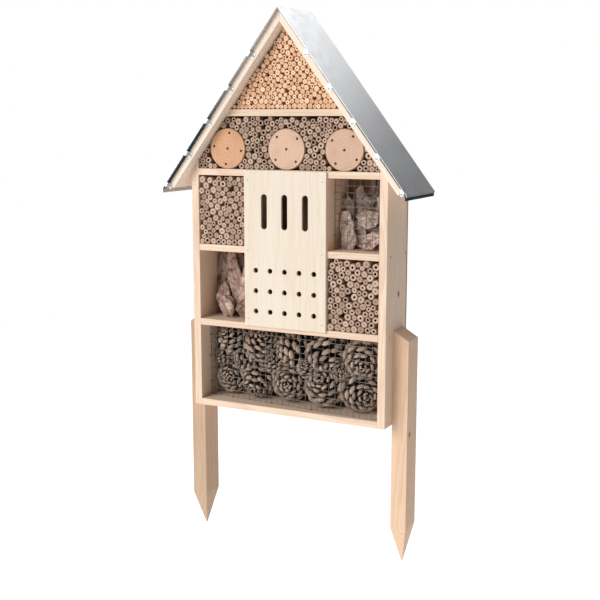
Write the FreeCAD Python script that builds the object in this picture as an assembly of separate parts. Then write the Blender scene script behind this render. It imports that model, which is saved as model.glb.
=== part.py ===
import FreeCAD, Part
import math
import os
import random
from FreeCAD import Vector

# Insect hotel on two ground stakes. Millimetres, +Z up, front towards -Y.
# Origin: on the ground plane at the stakes' points, midway between them; Y = 0 is mid roof depth.

# ---------------------------------------------------------------- driving dimensions
case_width = 400.0
case_depth = 100.0
case_bottom = 268.0
wall_thickness = 15.0
shelf_thickness = 12.5
back_panel_thickness = 4.0
edge_easing = 0.6

# undersides of the shelves and the inner apex, above the case bottom
lower_shelf_height = 159.5
middle_shelf_height = 304.5
eave_shelf_height = 447.5
gable_shelf_height = 556.5
inner_apex_height = 720.0

roof_angle = math.radians(52.7)
roof_board_thickness = 13.0
roof_half_width = 226.0
roof_front_overhang = 22.0
roof_back_overhang = 10.0
felt_thickness = 2.0
felt_turn_down = 9.0
sheet_thickness = 1.0
sheet_overhang = 8.0
sheet_drip = 3.0
tab_count = 5
tab_width = 10.0
tab_spacing = 74.3
tab_board_leg = 8.0

front_panel_thickness = 5.0
front_panel_half_width = 84.0
front_panel_bottom = 167.5
front_panel_top = 459.0
slot_width = 12.5
slot_length = 65.0
slot_spacing = 42.0
slot_centre_height = 383.5
entry_hole_diameter = 10.0
entry_hole_spacing = 30.0
entry_row_spacing = 38.5
entry_hole_columns = 5
entry_hole_rows = 3
entry_lowest_row_height = 197.0

stake_width = 30.0
stake_depth = 48.0
stake_front_setback = 35.0
stake_top_height = 176.0
stake_top_fall = 18.0
stake_point_length = 70.0
stake_tip_width = 2.0

log_diameter = 75.0
log_centres_x = (-120.6, 2.0, 116.5)
log_hole_diameter = 5.0
log_hole_depth = 60.0
log_hole_ring = 29.0
log_hole_turns = (-8.0, 41.0, 55.0)
log_outer_holes = 4

cane_clearance = 0.2
cane_back_gap = 1.0
cane_front_recesses = (0.2, 3.0)
largest_bore = 5.4

mesh_pitch = 12.7
mesh_wire = 0.9
mesh_edge_gap = 0.5
bark_mesh_recess = 32.0
cone_mesh_recess_left = 36.0
cone_mesh_recess_right = 8.0

bark_thickness = 5.5
bark_bend_radius = 60.0
bark_gap = 0.6

cones_per_row = 5
smallest_cone_radius = 28.0
largest_cone_radius = 36.0
cone_rings = 7
cone_gap = 0.5
cone_wall_gap = 3.0
edge_cone_radius = 17.0
nestled_cone_setback = 6.0

# canes: smallest and largest radius, then the bore's least and greatest share of the radius
chamber_cane_radii = (4.8, 7.0)
log_row_cane_radii = (4.4, 6.4)
reed_radii = (3.8, 5.4)
chamber_cane_bores = (0.25, 0.5)
log_row_cane_bores = (0.3, 0.5)
reed_bores = (0.2, 0.35)
cane_bore_depth = 80.0
reed_bore_depth = 40.0

# fasteners: head radius, head height, shank radius, length
case_nail = (2.2, 0.8, 0.9, 34.0)
roof_board_nail = (2.2, 0.8, 0.9, 22.0)
roof_nail = (2.4, 0.8, 0.9, 20.0)
panel_pin = (1.4, 0.4, 0.7, 20.0)
back_pin = (1.9, 0.6, 0.8, 18.0)
stake_screw = (4.0, 2.2, 2.0, 36.0)

# ---------------------------------------------------------------- derived places
half_width = case_width / 2
inner_half = half_width - wall_thickness
case_middle = (roof_front_overhang + sheet_overhang - roof_back_overhang) / 2
case_front = case_middle - case_depth / 2
case_back = case_middle + case_depth / 2
inner_back = case_back - back_panel_thickness
roof_slope = math.tan(roof_angle)
apex = case_bottom + inner_apex_height
roof_front = case_front - roof_front_overhang
roof_back = case_back + roof_back_overhang
floor_top = case_bottom + shelf_thickness
lower_shelf = case_bottom + lower_shelf_height
middle_shelf = case_bottom + middle_shelf_height
eave_shelf = case_bottom + eave_shelf_height
gable_shelf = case_bottom + gable_shelf_height
box_outer = front_panel_half_width
box_inner = box_outer - wall_thickness
stake_front = case_front + stake_front_setback
stake_back = stake_front + stake_depth


def save(node, shape):
    """Writes one sub-part."""
    shape.exportStep("parts/" + node + ".step")


def block(x0, x1, y0, y1, z0, z1):
    """A rectangular solid between two corners."""
    return Part.makeBox(x1 - x0, y1 - y0, z1 - z0, Vector(x0, y0, z0))


def profile_along_y(outline, y0, y1):
    """A solid whose (x, z) outline runs from y0 to y1."""
    corners = [Vector(x, y0, z) for x, z in outline]
    face = Part.Face(Part.makePolygon(corners + corners[:1]))
    return face.extrude(Vector(0, y1 - y0, 0))


def eased(board):
    """The board with its edges broken by fine sandpaper."""
    return board.makeChamfer(edge_easing, board.Edges)


def roof_height(x, offset=0.0):
    """Height of the roof's inner plane at x, or of the plane that lies offset outside it."""
    return apex + offset / math.cos(roof_angle) - abs(x) * roof_slope


def roof_reach(z):
    """Distance from the middle at which the roof's inner plane is at height z."""
    return (apex - z) / roof_slope


def on_slope(side, along, out, y):
    """A point given by its distance down the slope from the inner apex and out of the inner plane."""
    x = along * math.cos(roof_angle) + out * math.sin(roof_angle)
    z = apex - along * math.sin(roof_angle) + out * math.cos(roof_angle)
    return Vector(side * x, y, z)


def fastener(point, direction, head_radius, head_height, shank_radius, length):
    """A headed nail or screw: the point is under the head, the direction is the way it is driven."""
    shank = Part.makeCylinder(shank_radius, length, point, direction)
    back = Vector(direction).normalize() * -head_height
    head = Part.makeCylinder(head_radius, head_height, point + back, direction)
    return head.fuse(shank).removeSplitter()


# ---------------------------------------------------------------- case
def side_wall(side):
    """One outer wall, its top bevelled to carry the roof board."""
    outline = (
        (side * inner_half, case_bottom),
        (side * half_width, case_bottom),
        (side * half_width, roof_height(half_width)),
        (side * inner_half, roof_height(inner_half)),
    )
    return eased(profile_along_y(outline, case_front, inner_back))


def shelf(x0, x1, underside):
    """A level board between two uprights."""
    return eased(block(x0, x1, case_front, inner_back, underside, underside + shelf_thickness))


def gable_board():
    """The top shelf, its ends bevelled to the roof."""
    top = gable_shelf + shelf_thickness
    outline = (
        (-roof_reach(gable_shelf), gable_shelf),
        (roof_reach(gable_shelf), gable_shelf),
        (roof_reach(top), top),
        (-roof_reach(top), top),
    )
    return eased(profile_along_y(outline, case_front, inner_back))


def box_side(side):
    """An upright of the central box, between the lower and the eave shelf."""
    near = side * box_inner
    far = side * box_outer
    return eased(block(min(near, far), max(near, far), case_front, inner_back,
                       lower_shelf + shelf_thickness, eave_shelf))


def back_sheet():
    """The hardboard back, cut to the outline of the house."""
    outline = (
        (-half_width, case_bottom),
        (half_width, case_bottom),
        (half_width, roof_height(half_width)),
        (0, apex),
        (-half_width, roof_height(half_width)),
    )
    return profile_along_y(outline, inner_back, case_back)


def slot_cutter(x):
    """One upright butterfly slot with round ends, through the front panel."""
    radius = slot_width / 2
    y0 = case_front - front_panel_thickness - 1
    depth = front_panel_thickness + 2
    centre = case_bottom + slot_centre_height
    half = slot_length / 2 - radius
    cutter = block(x - radius, x + radius, y0, y0 + depth, centre - half, centre + half)
    for end in (centre - half, centre + half):
        cutter = cutter.fuse(Part.makeCylinder(radius, depth, Vector(x, y0, end), Vector(0, 1, 0)))
    return cutter.removeSplitter()


def front_board():
    """The plywood front of the central box, with three slots over rows of round entry holes."""
    panel = eased(block(-front_panel_half_width, front_panel_half_width,
                        case_front - front_panel_thickness, case_front,
                        case_bottom + front_panel_bottom, case_bottom + front_panel_top))
    for column in (-1, 0, 1):
        panel = panel.cut(slot_cutter(column * slot_spacing))
    for column in range(entry_hole_columns):
        x = (column - (entry_hole_columns - 1) / 2) * entry_hole_spacing
        for row in range(entry_hole_rows):
            z = case_bottom + entry_lowest_row_height + row * entry_row_spacing
            start = Vector(x, case_front - front_panel_thickness - 1, z)
            depth = front_panel_thickness + 2
            panel = panel.cut(Part.makeCylinder(entry_hole_diameter / 2, depth, start, Vector(0, 1, 0)))
    return panel


# ---------------------------------------------------------------- roof
def roof_board(side):
    """One sloping board, mitred at the ridge and cut level at the eave."""
    eave = roof_height(roof_half_width)
    outer_reach = roof_half_width + roof_board_thickness / math.sin(roof_angle)
    outline = (
        (0, apex),
        (side * roof_half_width, eave),
        (side * outer_reach, eave),
        (0, roof_height(0, roof_board_thickness)),
    )
    return eased(profile_along_y(outline, roof_front, roof_back))


def folded_cover(inner_offset, thickness, reach, turn_down, y0, y1):
    """A cover folded over the ridge, lying on both slopes and turned down at the eaves."""
    outer_offset = inner_offset + thickness
    edge = roof_height(reach, outer_offset)
    right = (
        (reach, edge),
        (reach, edge - turn_down),
        (reach - thickness, edge - turn_down),
        (reach - thickness, roof_height(reach - thickness, inner_offset)),
    )
    left = tuple((-x, z) for x, z in reversed(right))
    outline = ((0, roof_height(0, outer_offset)),) + right + ((0, roof_height(0, inner_offset)),) + left
    return profile_along_y(outline, y0, y1)


def tab_places():
    """Distances down the slope of the cover's front tabs, the last one at the eave."""
    last = roof_half_width / math.cos(roof_angle) + 2.0
    return [last - step * tab_spacing for step in range(tab_count)]


def cover_tab(side, along):
    """A tab of the metal cover, folded under its front edge and down the board's front."""
    top = roof_board_thickness + felt_thickness + sheet_thickness
    under = roof_board_thickness - sheet_thickness
    cover_front = roof_front - sheet_overhang
    outline = (
        (cover_front, top),
        (cover_front - sheet_thickness, top),
        (cover_front - sheet_thickness, under - sheet_thickness),
        (roof_front - sheet_thickness, under - sheet_thickness),
        (roof_front - sheet_thickness, under - tab_board_leg),
        (roof_front, under - tab_board_leg),
        (roof_front, under),
        (cover_front, under),
    )
    start = along - tab_width / 2
    corners = [on_slope(side, start, out, y) for y, out in outline]
    face = Part.Face(Part.makePolygon(corners + corners[:1]))
    run = on_slope(side, start + tab_width, 0, 0) - on_slope(side, start, 0, 0)
    return face.extrude(run)


def roof_cover():
    """The galvanised sheet with its tabs."""
    inner = roof_board_thickness + felt_thickness
    reach = roof_half_width + (inner + sheet_thickness) / math.sin(roof_angle)
    cover = folded_cover(inner, sheet_thickness, reach, sheet_drip,
                         roof_front - sheet_overhang, roof_back + sheet_thickness)
    for side in (-1, 1):
        for along in tab_places():
            cover = cover.fuse(cover_tab(side, along))
    return cover.removeSplitter()


def roof_underlay():
    """The bitumen felt between the boards and the sheet, turned down at both eaves."""
    reach = roof_half_width + (roof_board_thickness + felt_thickness) / math.sin(roof_angle)
    return folded_cover(roof_board_thickness, felt_thickness, reach, felt_turn_down,
                        roof_front - sheet_overhang, roof_back + sheet_thickness)


# ---------------------------------------------------------------- stakes
def stake(side):
    """A ground stake: bevelled at the top, sawn to a four-sided point below."""
    near = side * half_width
    far = side * (half_width + stake_width)
    top = case_bottom + stake_top_height
    outline = (
        (near, stake_point_length),
        (far, stake_point_length),
        (far, top - stake_top_fall),
        (near, top),
    )
    shaft = profile_along_y(outline, stake_front, stake_back)
    middle = Vector((near + far) / 2, (stake_front + stake_back) / 2, 0)
    rings = []
    for half_x, half_y, z in ((stake_tip_width / 2, stake_tip_width / 2, 0),
                              (stake_width / 2, stake_depth / 2, stake_point_length)):
        corners = [middle + Vector(sx * half_x, sy * half_y, z)
                   for sx, sy in ((-1, -1), (1, -1), (1, 1), (-1, 1))]
        rings.append(Part.makePolygon(corners + corners[:1]))
    point = Part.makeLoft(rings, True, True)
    return shaft.fuse(point).removeSplitter()


# ---------------------------------------------------------------- fixings
def case_nails():
    """Nails through the side walls into the ends of the level boards."""
    nails = []
    for side in (-1, 1):
        for height in (0, lower_shelf_height, middle_shelf_height, eave_shelf_height):
            for y in (case_front + 18, case_back - 10):
                point = Vector(side * half_width, y, case_bottom + height + shelf_thickness / 2)
                nails.append(fastener(point, Vector(-side, 0, 0), *case_nail))
    return nails


def roof_board_nails():
    """Nails through the roof boards, flush under the felt, into the wall tops and the top shelf."""
    nails = []
    wall_place = (inner_half + 0.66 * wall_thickness) / math.cos(roof_angle)
    shelf_place = roof_reach(gable_shelf + 0.7 * shelf_thickness) / math.cos(roof_angle)
    for side in (-1, 1):
        for along in (wall_place, shelf_place):
            for y in (case_front + 20, inner_back - 20):
                outer = on_slope(side, along, roof_board_thickness - roof_board_nail[1], y)
                inner = on_slope(side, along, 0, y)
                nails.append(fastener(outer, inner - outer, *roof_board_nail))
    return nails


def panel_pins():
    """Small pins that hold the front panel to the box sides."""
    pins = []
    for side in (-1, 1):
        for height in (front_panel_bottom + 14, middle_shelf_height + 6, front_panel_top - 18):
            point = Vector(side * (box_inner + box_outer) / 2, case_front - front_panel_thickness,
                           case_bottom + height)
            pins.append(fastener(point, Vector(0, 1, 0), *panel_pin))
    return pins


def back_pins():
    """Small nails that hold the hardboard back to the walls and shelves."""
    places = []
    for side in (-1, 1):
        for step in range(5):
            places.append((side * (half_width - wall_thickness / 2), 30 + 97 * step))
        for height in (0, lower_shelf_height, eave_shelf_height):
            places.append((side * box_outer, height + shelf_thickness / 2))
        places.append((side * box_inner / 2, gable_shelf_height + shelf_thickness / 2))
    return [fastener(Vector(x, case_back, case_bottom + z), Vector(0, -1, 0), *back_pin)
            for x, z in places]


def stake_screws():
    """Pan-head screws from inside the lowest chamber through the walls into the stakes."""
    screws = []
    for side in (-1, 1):
        for height in (45.0, 120.0):
            point = Vector(side * inner_half, (stake_front + stake_back) / 2, case_bottom + height)
            screws.append(fastener(point, Vector(side, 0, 0), *stake_screw))
    return screws


def roof_nails():
    """One nail through each tab of the cover into the roof board's front edge."""
    nails = []
    out = roof_board_thickness - sheet_thickness - tab_board_leg / 2 - 1.5
    for side in (-1, 1):
        for along in tab_places():
            point = on_slope(side, along, out, roof_front - sheet_thickness)
            nails.append(fastener(point, Vector(0, 1, 0), *roof_nail))
    return nails


def staple(centre, into, across):
    """A wire staple: its crown lies across an edge wire, its legs go into the board."""
    width, wire, lift, leg = 8.0, 1.0, 1.6, 7.0
    inner = width / 2 - wire
    outline = (
        (-width / 2, -lift), (width / 2, -lift), (width / 2, leg), (inner, leg),
        (inner, wire - lift), (-inner, wire - lift), (-inner, leg), (-width / 2, leg),
    )
    side = into.cross(across)
    corners = [centre + across * a + into * b - side * (wire / 2) for a, b in outline]
    face = Part.Face(Part.makePolygon(corners + corners[:1]))
    return face.extrude(side * wire)


# ---------------------------------------------------------------- wire meshes
def wire_mesh(width, height):
    """A flat welded mesh of square cells, in the XZ plane, standing on z = 0 and centred on x = 0."""
    columns = round(width / mesh_pitch)
    rows = round(height / mesh_pitch)
    step_x = (width - mesh_wire) / columns
    step_z = (height - mesh_wire) / rows

    def ring(x0, x1, z0, z1):
        corners = [Vector(x0, 0, z0), Vector(x1, 0, z0), Vector(x1, 0, z1), Vector(x0, 0, z1)]
        return Part.makePolygon(corners + corners[:1])

    rings = [ring(-width / 2, width / 2, 0, height)]
    for column in range(columns):
        x0 = -width / 2 + mesh_wire + column * step_x
        for row in range(rows):
            z0 = mesh_wire + row * step_z
            rings.append(ring(x0, x0 + step_x - mesh_wire, z0, z0 + step_z - mesh_wire))
    sheet = Part.Face(rings).extrude(Vector(0, mesh_wire, 0))
    sheet.translate(Vector(0, -mesh_wire / 2, 0))
    return sheet


def cone_mesh_y(x):
    """Depth of the cone chamber's mesh at x: it stands askew, deeper at its left end."""
    share = (x + inner_half) / (2 * inner_half)
    recess = cone_mesh_recess_left + share * (cone_mesh_recess_right - cone_mesh_recess_left)
    return case_front + recess


def cone_mesh():
    """The mesh in front of the pine cones."""
    skew = math.atan2(cone_mesh_y(inner_half) - cone_mesh_y(-inner_half), 2 * inner_half)
    width = 2 * (inner_half - mesh_edge_gap) / math.cos(skew) - mesh_wire
    height = lower_shelf - floor_top - 2 * mesh_edge_gap
    mesh = wire_mesh(width, height)
    mesh.rotate(Vector(0, 0, 0), Vector(0, 0, 1), math.degrees(skew))
    mesh.translate(Vector(0, cone_mesh_y(0), floor_top + mesh_edge_gap))
    return mesh


def bark_mesh():
    """The mesh in front of the right-hand bark."""
    width = inner_half - box_outer - 2 * mesh_edge_gap
    bottom = middle_shelf + shelf_thickness + mesh_edge_gap
    mesh = wire_mesh(width, eave_shelf - mesh_edge_gap - bottom)
    mesh.translate(Vector((inner_half + box_outer) / 2, case_front + bark_mesh_recess, bottom))
    return mesh


def mesh_staples():
    """Staples round both meshes, driven into the boards that the edge wires lie on."""
    staples = []
    depth = Vector(0, 1, 0)
    up = Vector(0, 0, 1)
    chamber = lower_shelf - floor_top
    for side in (-1, 1):
        for share in (0.18, 0.82):
            centre = Vector(side * inner_half, cone_mesh_y(side * inner_half), floor_top + share * chamber)
            staples.append(staple(centre, Vector(side, 0, 0), depth))
    for step in range(4):
        x = (step - 1.5) * 0.48 * inner_half
        staples.append(staple(Vector(x, cone_mesh_y(x), floor_top), up * -1, depth))
        staples.append(staple(Vector(x, cone_mesh_y(x), lower_shelf), up, depth))
    bottom = middle_shelf + shelf_thickness
    y = case_front + bark_mesh_recess
    for share in (0.2, 0.8):
        z = bottom + share * (eave_shelf - bottom)
        staples.append(staple(Vector(inner_half, y, z), Vector(1, 0, 0), depth))
        staples.append(staple(Vector(box_outer, y, z), Vector(-1, 0, 0), depth))
        x = box_outer + share * (inner_half - box_outer)
        staples.append(staple(Vector(x, y, bottom), up * -1, depth))
        staples.append(staple(Vector(x, y, eave_shelf), up, depth))
    return staples


# ---------------------------------------------------------------- stacked canes
# A wall is ("wall", nx, nz, d), with its clear side where nx * x + nz * z > d.
# A round is ("round", x, z, r): a cane or a log, end on.
def gap_to(thing, x, z):
    """Clear distance from a point to a wall or a round."""
    if thing[0] == "wall":
        return thing[1] * x + thing[2] * z - thing[3]
    return math.hypot(x - thing[1], z - thing[2]) - thing[3]


def between_rounds(a, b, radius):
    """The two places where a cane touches two rounds."""
    ra, rb = a[3] + radius, b[3] + radius
    dx, dz = b[1] - a[1], b[2] - a[2]
    distance = math.hypot(dx, dz)
    if distance > ra + rb or distance < abs(ra - rb) or distance == 0:
        return []
    along = (ra * ra - rb * rb + distance * distance) / (2 * distance)
    aside = math.sqrt(max(ra * ra - along * along, 0))
    ux, uz = dx / distance, dz / distance
    return [(a[1] + along * ux - s * aside * uz, a[2] + along * uz + s * aside * ux) for s in (-1, 1)]


def beside_wall(wall, other, radius):
    """The two places where a cane touches a wall and a round."""
    reach = other[3] + radius
    off = gap_to(wall, other[1], other[2]) - radius
    if abs(off) > reach:
        return []
    aside = math.sqrt(reach * reach - off * off)
    foot_x, foot_z = other[1] - off * wall[1], other[2] - off * wall[2]
    return [(foot_x - s * aside * wall[2], foot_z + s * aside * wall[1]) for s in (-1, 1)]


def in_corner(a, b, radius):
    """The place where a cane touches two walls."""
    turn = a[1] * b[2] - a[2] * b[1]
    if abs(turn) < 0.001:
        return []
    da, db = a[3] + radius, b[3] + radius
    return [((da * b[2] - db * a[2]) / turn, (a[1] * db - b[1] * da) / turn)]


def pockets(a, b, radius):
    """Places where a cane of this radius rests against both a and b."""
    if a[0] == "wall" and b[0] == "wall":
        return in_corner(a, b, radius)
    if a[0] == "wall":
        return beside_wall(a, b, radius)
    if b[0] == "wall":
        return beside_wall(b, a, radius)
    return between_rounds(a, b, radius)


def free_places(pair, radius, things):
    """The pair's pockets where no wall, log or cane is in the way."""
    return [(z, x) for x, z in pockets(pair[0], pair[1], radius)
            if all(gap_to(thing, x, z) > radius - 0.001 for thing in things)]


def stack(walls, logs, smallest, largest, seed):
    """Fills a chamber with canes of mixed size, each laid in the lowest pocket that takes it."""
    chance = random.Random(seed)
    things = list(walls) + list(logs)
    pairs = [(a, b) for index, a in enumerate(things) for b in things[:index]]
    canes = []
    while pairs:
        radius = chance.uniform(smallest, largest)
        pairs = [pair for pair in pairs if free_places(pair, smallest, things)]
        places = [place for pair in pairs for place in free_places(pair, radius, things)]
        if not places:
            radius = smallest
            places = [place for pair in pairs for place in free_places(pair, radius, things)]
        if not places:
            break
        z, x = min(places)
        cane = ("round", x, z, radius)
        pairs += [(cane, thing) for thing in things if gap_to(thing, x, z) < radius + 2 * largest]
        things.append(cane)
        canes.append((x, z, radius))
    return canes


def cane(x, z, radius, bore_radius, front, bore_depth):
    """A cane lying front to back, drilled from its front end."""
    length = inner_back - cane_back_gap - front
    body = Part.makeCylinder(radius, length, Vector(x, front, z), Vector(0, 1, 0))
    bore = Part.makeCylinder(bore_radius, bore_depth, Vector(x, front, z), Vector(0, 1, 0))
    return body.cut(bore)


def cane_bundle(places, seed, hollow, bore_depth):
    """Separate canes for the stacked places, with bores of mixed width and uneven front ends."""
    chance = random.Random(seed)
    canes = []
    for x, z, radius in places:
        bore = min(radius * chance.uniform(*hollow), largest_bore / 2)
        front = case_front + chance.uniform(*cane_front_recesses)
        canes.append(cane(x, z, radius - cane_clearance / 2, bore, front, bore_depth))
    return Part.makeCompound(canes)


def chamber_walls(x0, x1, z0, z1):
    """The four sides of a rectangular chamber."""
    return [("wall", 1, 0, x0), ("wall", -1, 0, -x1), ("wall", 0, 1, z0), ("wall", 0, -1, -z1)]


def roof_walls():
    """The two roof planes, with their clear sides below."""
    sine, cosine = math.sin(roof_angle), math.cos(roof_angle)
    return [("wall", side * sine, -cosine, -apex * cosine) for side in (-1, 1)]


# ---------------------------------------------------------------- logs
def log_disc(x, turn):
    """A round log lying front to back on the eave shelf, with drilled nesting holes."""
    radius = log_diameter / 2
    z = eave_shelf + shelf_thickness + radius
    length = inner_back - cane_back_gap - case_front
    log = Part.makeCylinder(radius, length, Vector(x, case_front, z), Vector(0, 1, 0))
    log = log.makeChamfer(1.0, [edge for edge in log.Edges if isinstance(edge.Curve, Part.Circle)])
    places = [(0.0, 0.0)]
    for step in range(log_outer_holes):
        angle = math.radians(turn + step * 360 / log_outer_holes)
        places.append((log_hole_ring * math.cos(angle), log_hole_ring * math.sin(angle)))
    for across, up in places:
        start = Vector(x + across, case_front - 1, z + up)
        log = log.cut(Part.makeCylinder(log_hole_diameter / 2, log_hole_depth + 1, start, Vector(0, 1, 0)))
    return log


# ---------------------------------------------------------------- bark
def bark_chip(width, height, chance):
    """A bent plate of bark with a broken, roughly oblong outline, its middle at the origin, facing -Y."""
    corners = []
    count = 10
    for step in range(count):
        angle = 2 * math.pi * (step + chance.uniform(-0.3, 0.3)) / count
        across, up = math.cos(angle), math.sin(angle)
        reach = chance.uniform(0.8, 1.0) * min(1 / max(abs(across), abs(up)), 1.2)
        corners.append(Vector(reach * width / 2 * across, -20, reach * height / 2 * up))
    plug = Part.Face(Part.makePolygon(corners + corners[:1])).extrude(Vector(0, 40, 0))
    outer = Part.makeCylinder(bark_bend_radius, 2 * height, Vector(0, 0, -height))
    inner = Part.makeCylinder(bark_bend_radius - bark_thickness, 2 * height, Vector(0, 0, -height))
    shell = outer.cut(inner)
    shell.translate(Vector(0, bark_bend_radius - bark_thickness / 2, 0))
    return shell.common(plug)


def bark_room(x0, x1, z0, z1):
    """The space in a chamber that its bark chips may take."""
    return block(x0 + bark_gap, x1 - bark_gap, case_front, inner_back - bark_gap,
                 z0 + bark_gap, z1 - bark_gap)


def bark_pile(x0, x1, z0, z1, layers, seed):
    """Long bark chips standing on the chamber's floor in slanting layers, kept clear of its walls.

    Each layer is its middle's y, the lean of its chips in degrees and the share of the chamber's height
    that each chip reaches from left to right; a share of 0 leaves a gap.
    """
    chance = random.Random(seed)
    room = bark_room(x0, x1, z0, z1)
    chips = []
    for y, lean, shares in layers:
        spacing = (x1 - x0) / len(shares)
        for place, share in enumerate(shares):
            if not share:
                continue
            height = share * (z1 - z0)
            width = 0.93 * spacing * math.cos(math.radians(lean))
            chip = bark_chip(width, 1.06 * height, chance)
            chip.rotate(Vector(0, 0, 0), Vector(1, 0, 0), chance.uniform(-1.5, 1.5))
            chip.rotate(Vector(0, 0, 0), Vector(0, 1, 0), lean)
            shift = math.tan(math.radians(lean)) * (height - (z1 - z0)) / 2
            across = x0 + (place + 0.5) * spacing + shift
            chip.translate(Vector(across, y, z0 + height / 2))
            chips.append(max(chip.common(room).Solids, key=lambda solid: solid.Volume))
    return chips


def bark_heap(x0, x1, z0, z1, pieces, seed):
    """Short broken bark chips heaped in front of the upright ones.

    Each piece is its y, the shares of the chamber's width and height at its middle, its width and height,
    and its lean in degrees.
    """
    chance = random.Random(seed)
    room = bark_room(x0, x1, z0, z1)
    chips = []
    for y, across, up, width, height, lean in pieces:
        chip = bark_chip(width, height, chance)
        chip.rotate(Vector(0, 0, 0), Vector(1, 0, 0), chance.uniform(-1.5, 1.5))
        chip.rotate(Vector(0, 0, 0), Vector(0, 1, 0), lean)
        chip.translate(Vector(x0 + across * (x1 - x0), y, z0 + up * (z1 - z0)))
        chips.append(max(chip.common(room).Solids, key=lambda solid: solid.Volume))
    return chips


# ---------------------------------------------------------------- pine cones
def pine_cone(radius):
    """A closed solid of a cone's outer shape, with stepped rings of scales, its tip towards +Z."""
    length = 1.85 * radius
    points = [Vector(0, 0, -length / 2)]
    for ring in range(cone_rings):
        for share, shrink in ((0.15, 0.84), (0.75, 1.0)):
            t = (ring + share) / cone_rings
            reach = radius * math.sin(math.pi * (0.2 + 0.8 * t) ** 0.8) ** 0.8
            points.append(Vector(reach * shrink, 0, length * (t - 0.5)))
    points.append(Vector(0, 0, length / 2))
    face = Part.Face(Part.makePolygon(points + points[:1]))
    return face.revolve(Vector(0, 0, 0), Vector(0, 0, 1), 360)


def placed_cones():
    """Two rows of cones behind the mesh, growing to the right as the chamber gets deeper."""
    chance = random.Random(11)
    placed = []
    for row in (0, 1):
        cones = []
        for column in range(cones_per_row):
            share = column / (cones_per_row - 1)
            cone = pine_cone(smallest_cone_radius + share * (largest_cone_radius - smallest_cone_radius))
            cone.rotate(Vector(0, 0, 0), Vector(1, 0, 0), 90 + chance.uniform(-30, 30))
            cone.rotate(Vector(0, 0, 0), Vector(0, 0, 1), chance.uniform(-30, 30))
            cones.append(cone)
        free = 2 * (inner_half - cone_wall_gap) - sum(cone.BoundBox.XLength for cone in cones)
        left = -inner_half + cone_wall_gap + row * free / cones_per_row
        for cone in cones:
            box = cone.BoundBox
            y = min(cone_mesh_y(left) + cone_gap - box.YMin, inner_back - cone_gap - box.YMax)
            z = lower_shelf - cone_gap - box.ZMax if row else floor_top + cone_gap - box.ZMin
            cone.translate(Vector(left - box.XMin, y, z))
            left += box.XLength + free / cones_per_row
        placed += cones
    return placed


def nestled_cones(rows):
    """Smaller cones in the pockets between the two rows, and one beside the left wall."""
    chance = random.Random(12)
    low, high = rows[:cones_per_row], rows[cones_per_row:]
    around = [(cone.BoundBox.Center, max(cone.BoundBox.XLength, cone.BoundBox.ZLength) / 2)
              for cone in rows]
    pockets_x = [sum(cone.BoundBox.Center.x for cone in low[k:k + 2] + high[k:k + 2]) / 4
                 for k in range(cones_per_row - 1)]
    nestled = []
    for x in [edge_cone_radius + cone_wall_gap - inner_half] + pockets_x:
        near = sorted(around, key=lambda ball: abs(ball[0].x - x))[:4]
        best = 0.0
        for step in range(41):
            z = floor_top + 40.0 + step * 1.5
            free = min(math.hypot(middle.x - x, middle.z - z) - reach for middle, reach in near)
            if free > best:
                best, height = free, z
        radius = min(best - cone_gap, smallest_cone_radius - 2.0)
        if x < pockets_x[0]:
            radius = min(radius, edge_cone_radius)
        cone = pine_cone(radius)
        cone.rotate(Vector(0, 0, 0), Vector(1, 0, 0), 90 + chance.uniform(-35, 35))
        cone.rotate(Vector(0, 0, 0), Vector(0, 0, 1), chance.uniform(-35, 35))
        box = cone.BoundBox
        y = cone_mesh_y(x - radius) + nestled_cone_setback
        cone.translate(Vector(x - box.Center.x, y - box.YMin, height - box.Center.z))
        nestled.append(cone)
    return nestled


# ---------------------------------------------------------------- assembly
os.makedirs("parts", exist_ok=True)

nails_case = case_nails()
nails_roof_board = roof_board_nails()
nails_roof = roof_nails()
pins_panel = panel_pins()
pins_back = back_pins()
screws_stake = stake_screws()
staples_mesh = mesh_staples()
fixings = nails_case + nails_roof_board + nails_roof + pins_panel + pins_back + screws_stake + staples_mesh


def drilled(board):
    """The board with the holes of the nails, pins, screws and staples that are driven into it."""
    for fixing in fixings:
        if board.BoundBox.intersect(fixing.BoundBox) and board.common(fixing).Volume > 0.01:
            board = board.cut(fixing)
    return board


boards = {
    "side_wall_left": side_wall(-1),
    "side_wall_right": side_wall(1),
    "floor_board": shelf(-inner_half, inner_half, case_bottom),
    "shelf_lower": shelf(-inner_half, inner_half, lower_shelf),
    "shelf_middle_left": shelf(-inner_half, -box_outer, middle_shelf),
    "shelf_middle_right": shelf(box_outer, inner_half, middle_shelf),
    "shelf_eave": shelf(-inner_half, inner_half, eave_shelf),
    "shelf_gable": gable_board(),
    "box_side_left": box_side(-1),
    "box_side_right": box_side(1),
    "box_divider": shelf(-box_inner, box_inner, middle_shelf),
    "back_panel": back_sheet(),
    "front_panel": front_board(),
    "roof_board_left": roof_board(-1),
    "roof_board_right": roof_board(1),
    "roof_sheet": roof_cover(),
    "stake_left": stake(-1),
    "stake_right": stake(1),
}
for node, board in boards.items():
    save(node, drilled(board))

save("roof_felt", roof_underlay())
save("case_nails", Part.makeCompound(nails_case))
save("roof_board_nails", Part.makeCompound(nails_roof_board))
save("roof_nails", Part.makeCompound(nails_roof))
save("panel_pins", Part.makeCompound(pins_panel))
save("back_pins", Part.makeCompound(pins_back))
save("stake_screws", Part.makeCompound(screws_stake))
save("mesh_staples", Part.makeCompound(staples_mesh))
save("mesh_cones", cone_mesh())
save("mesh_bark", bark_mesh())

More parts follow.
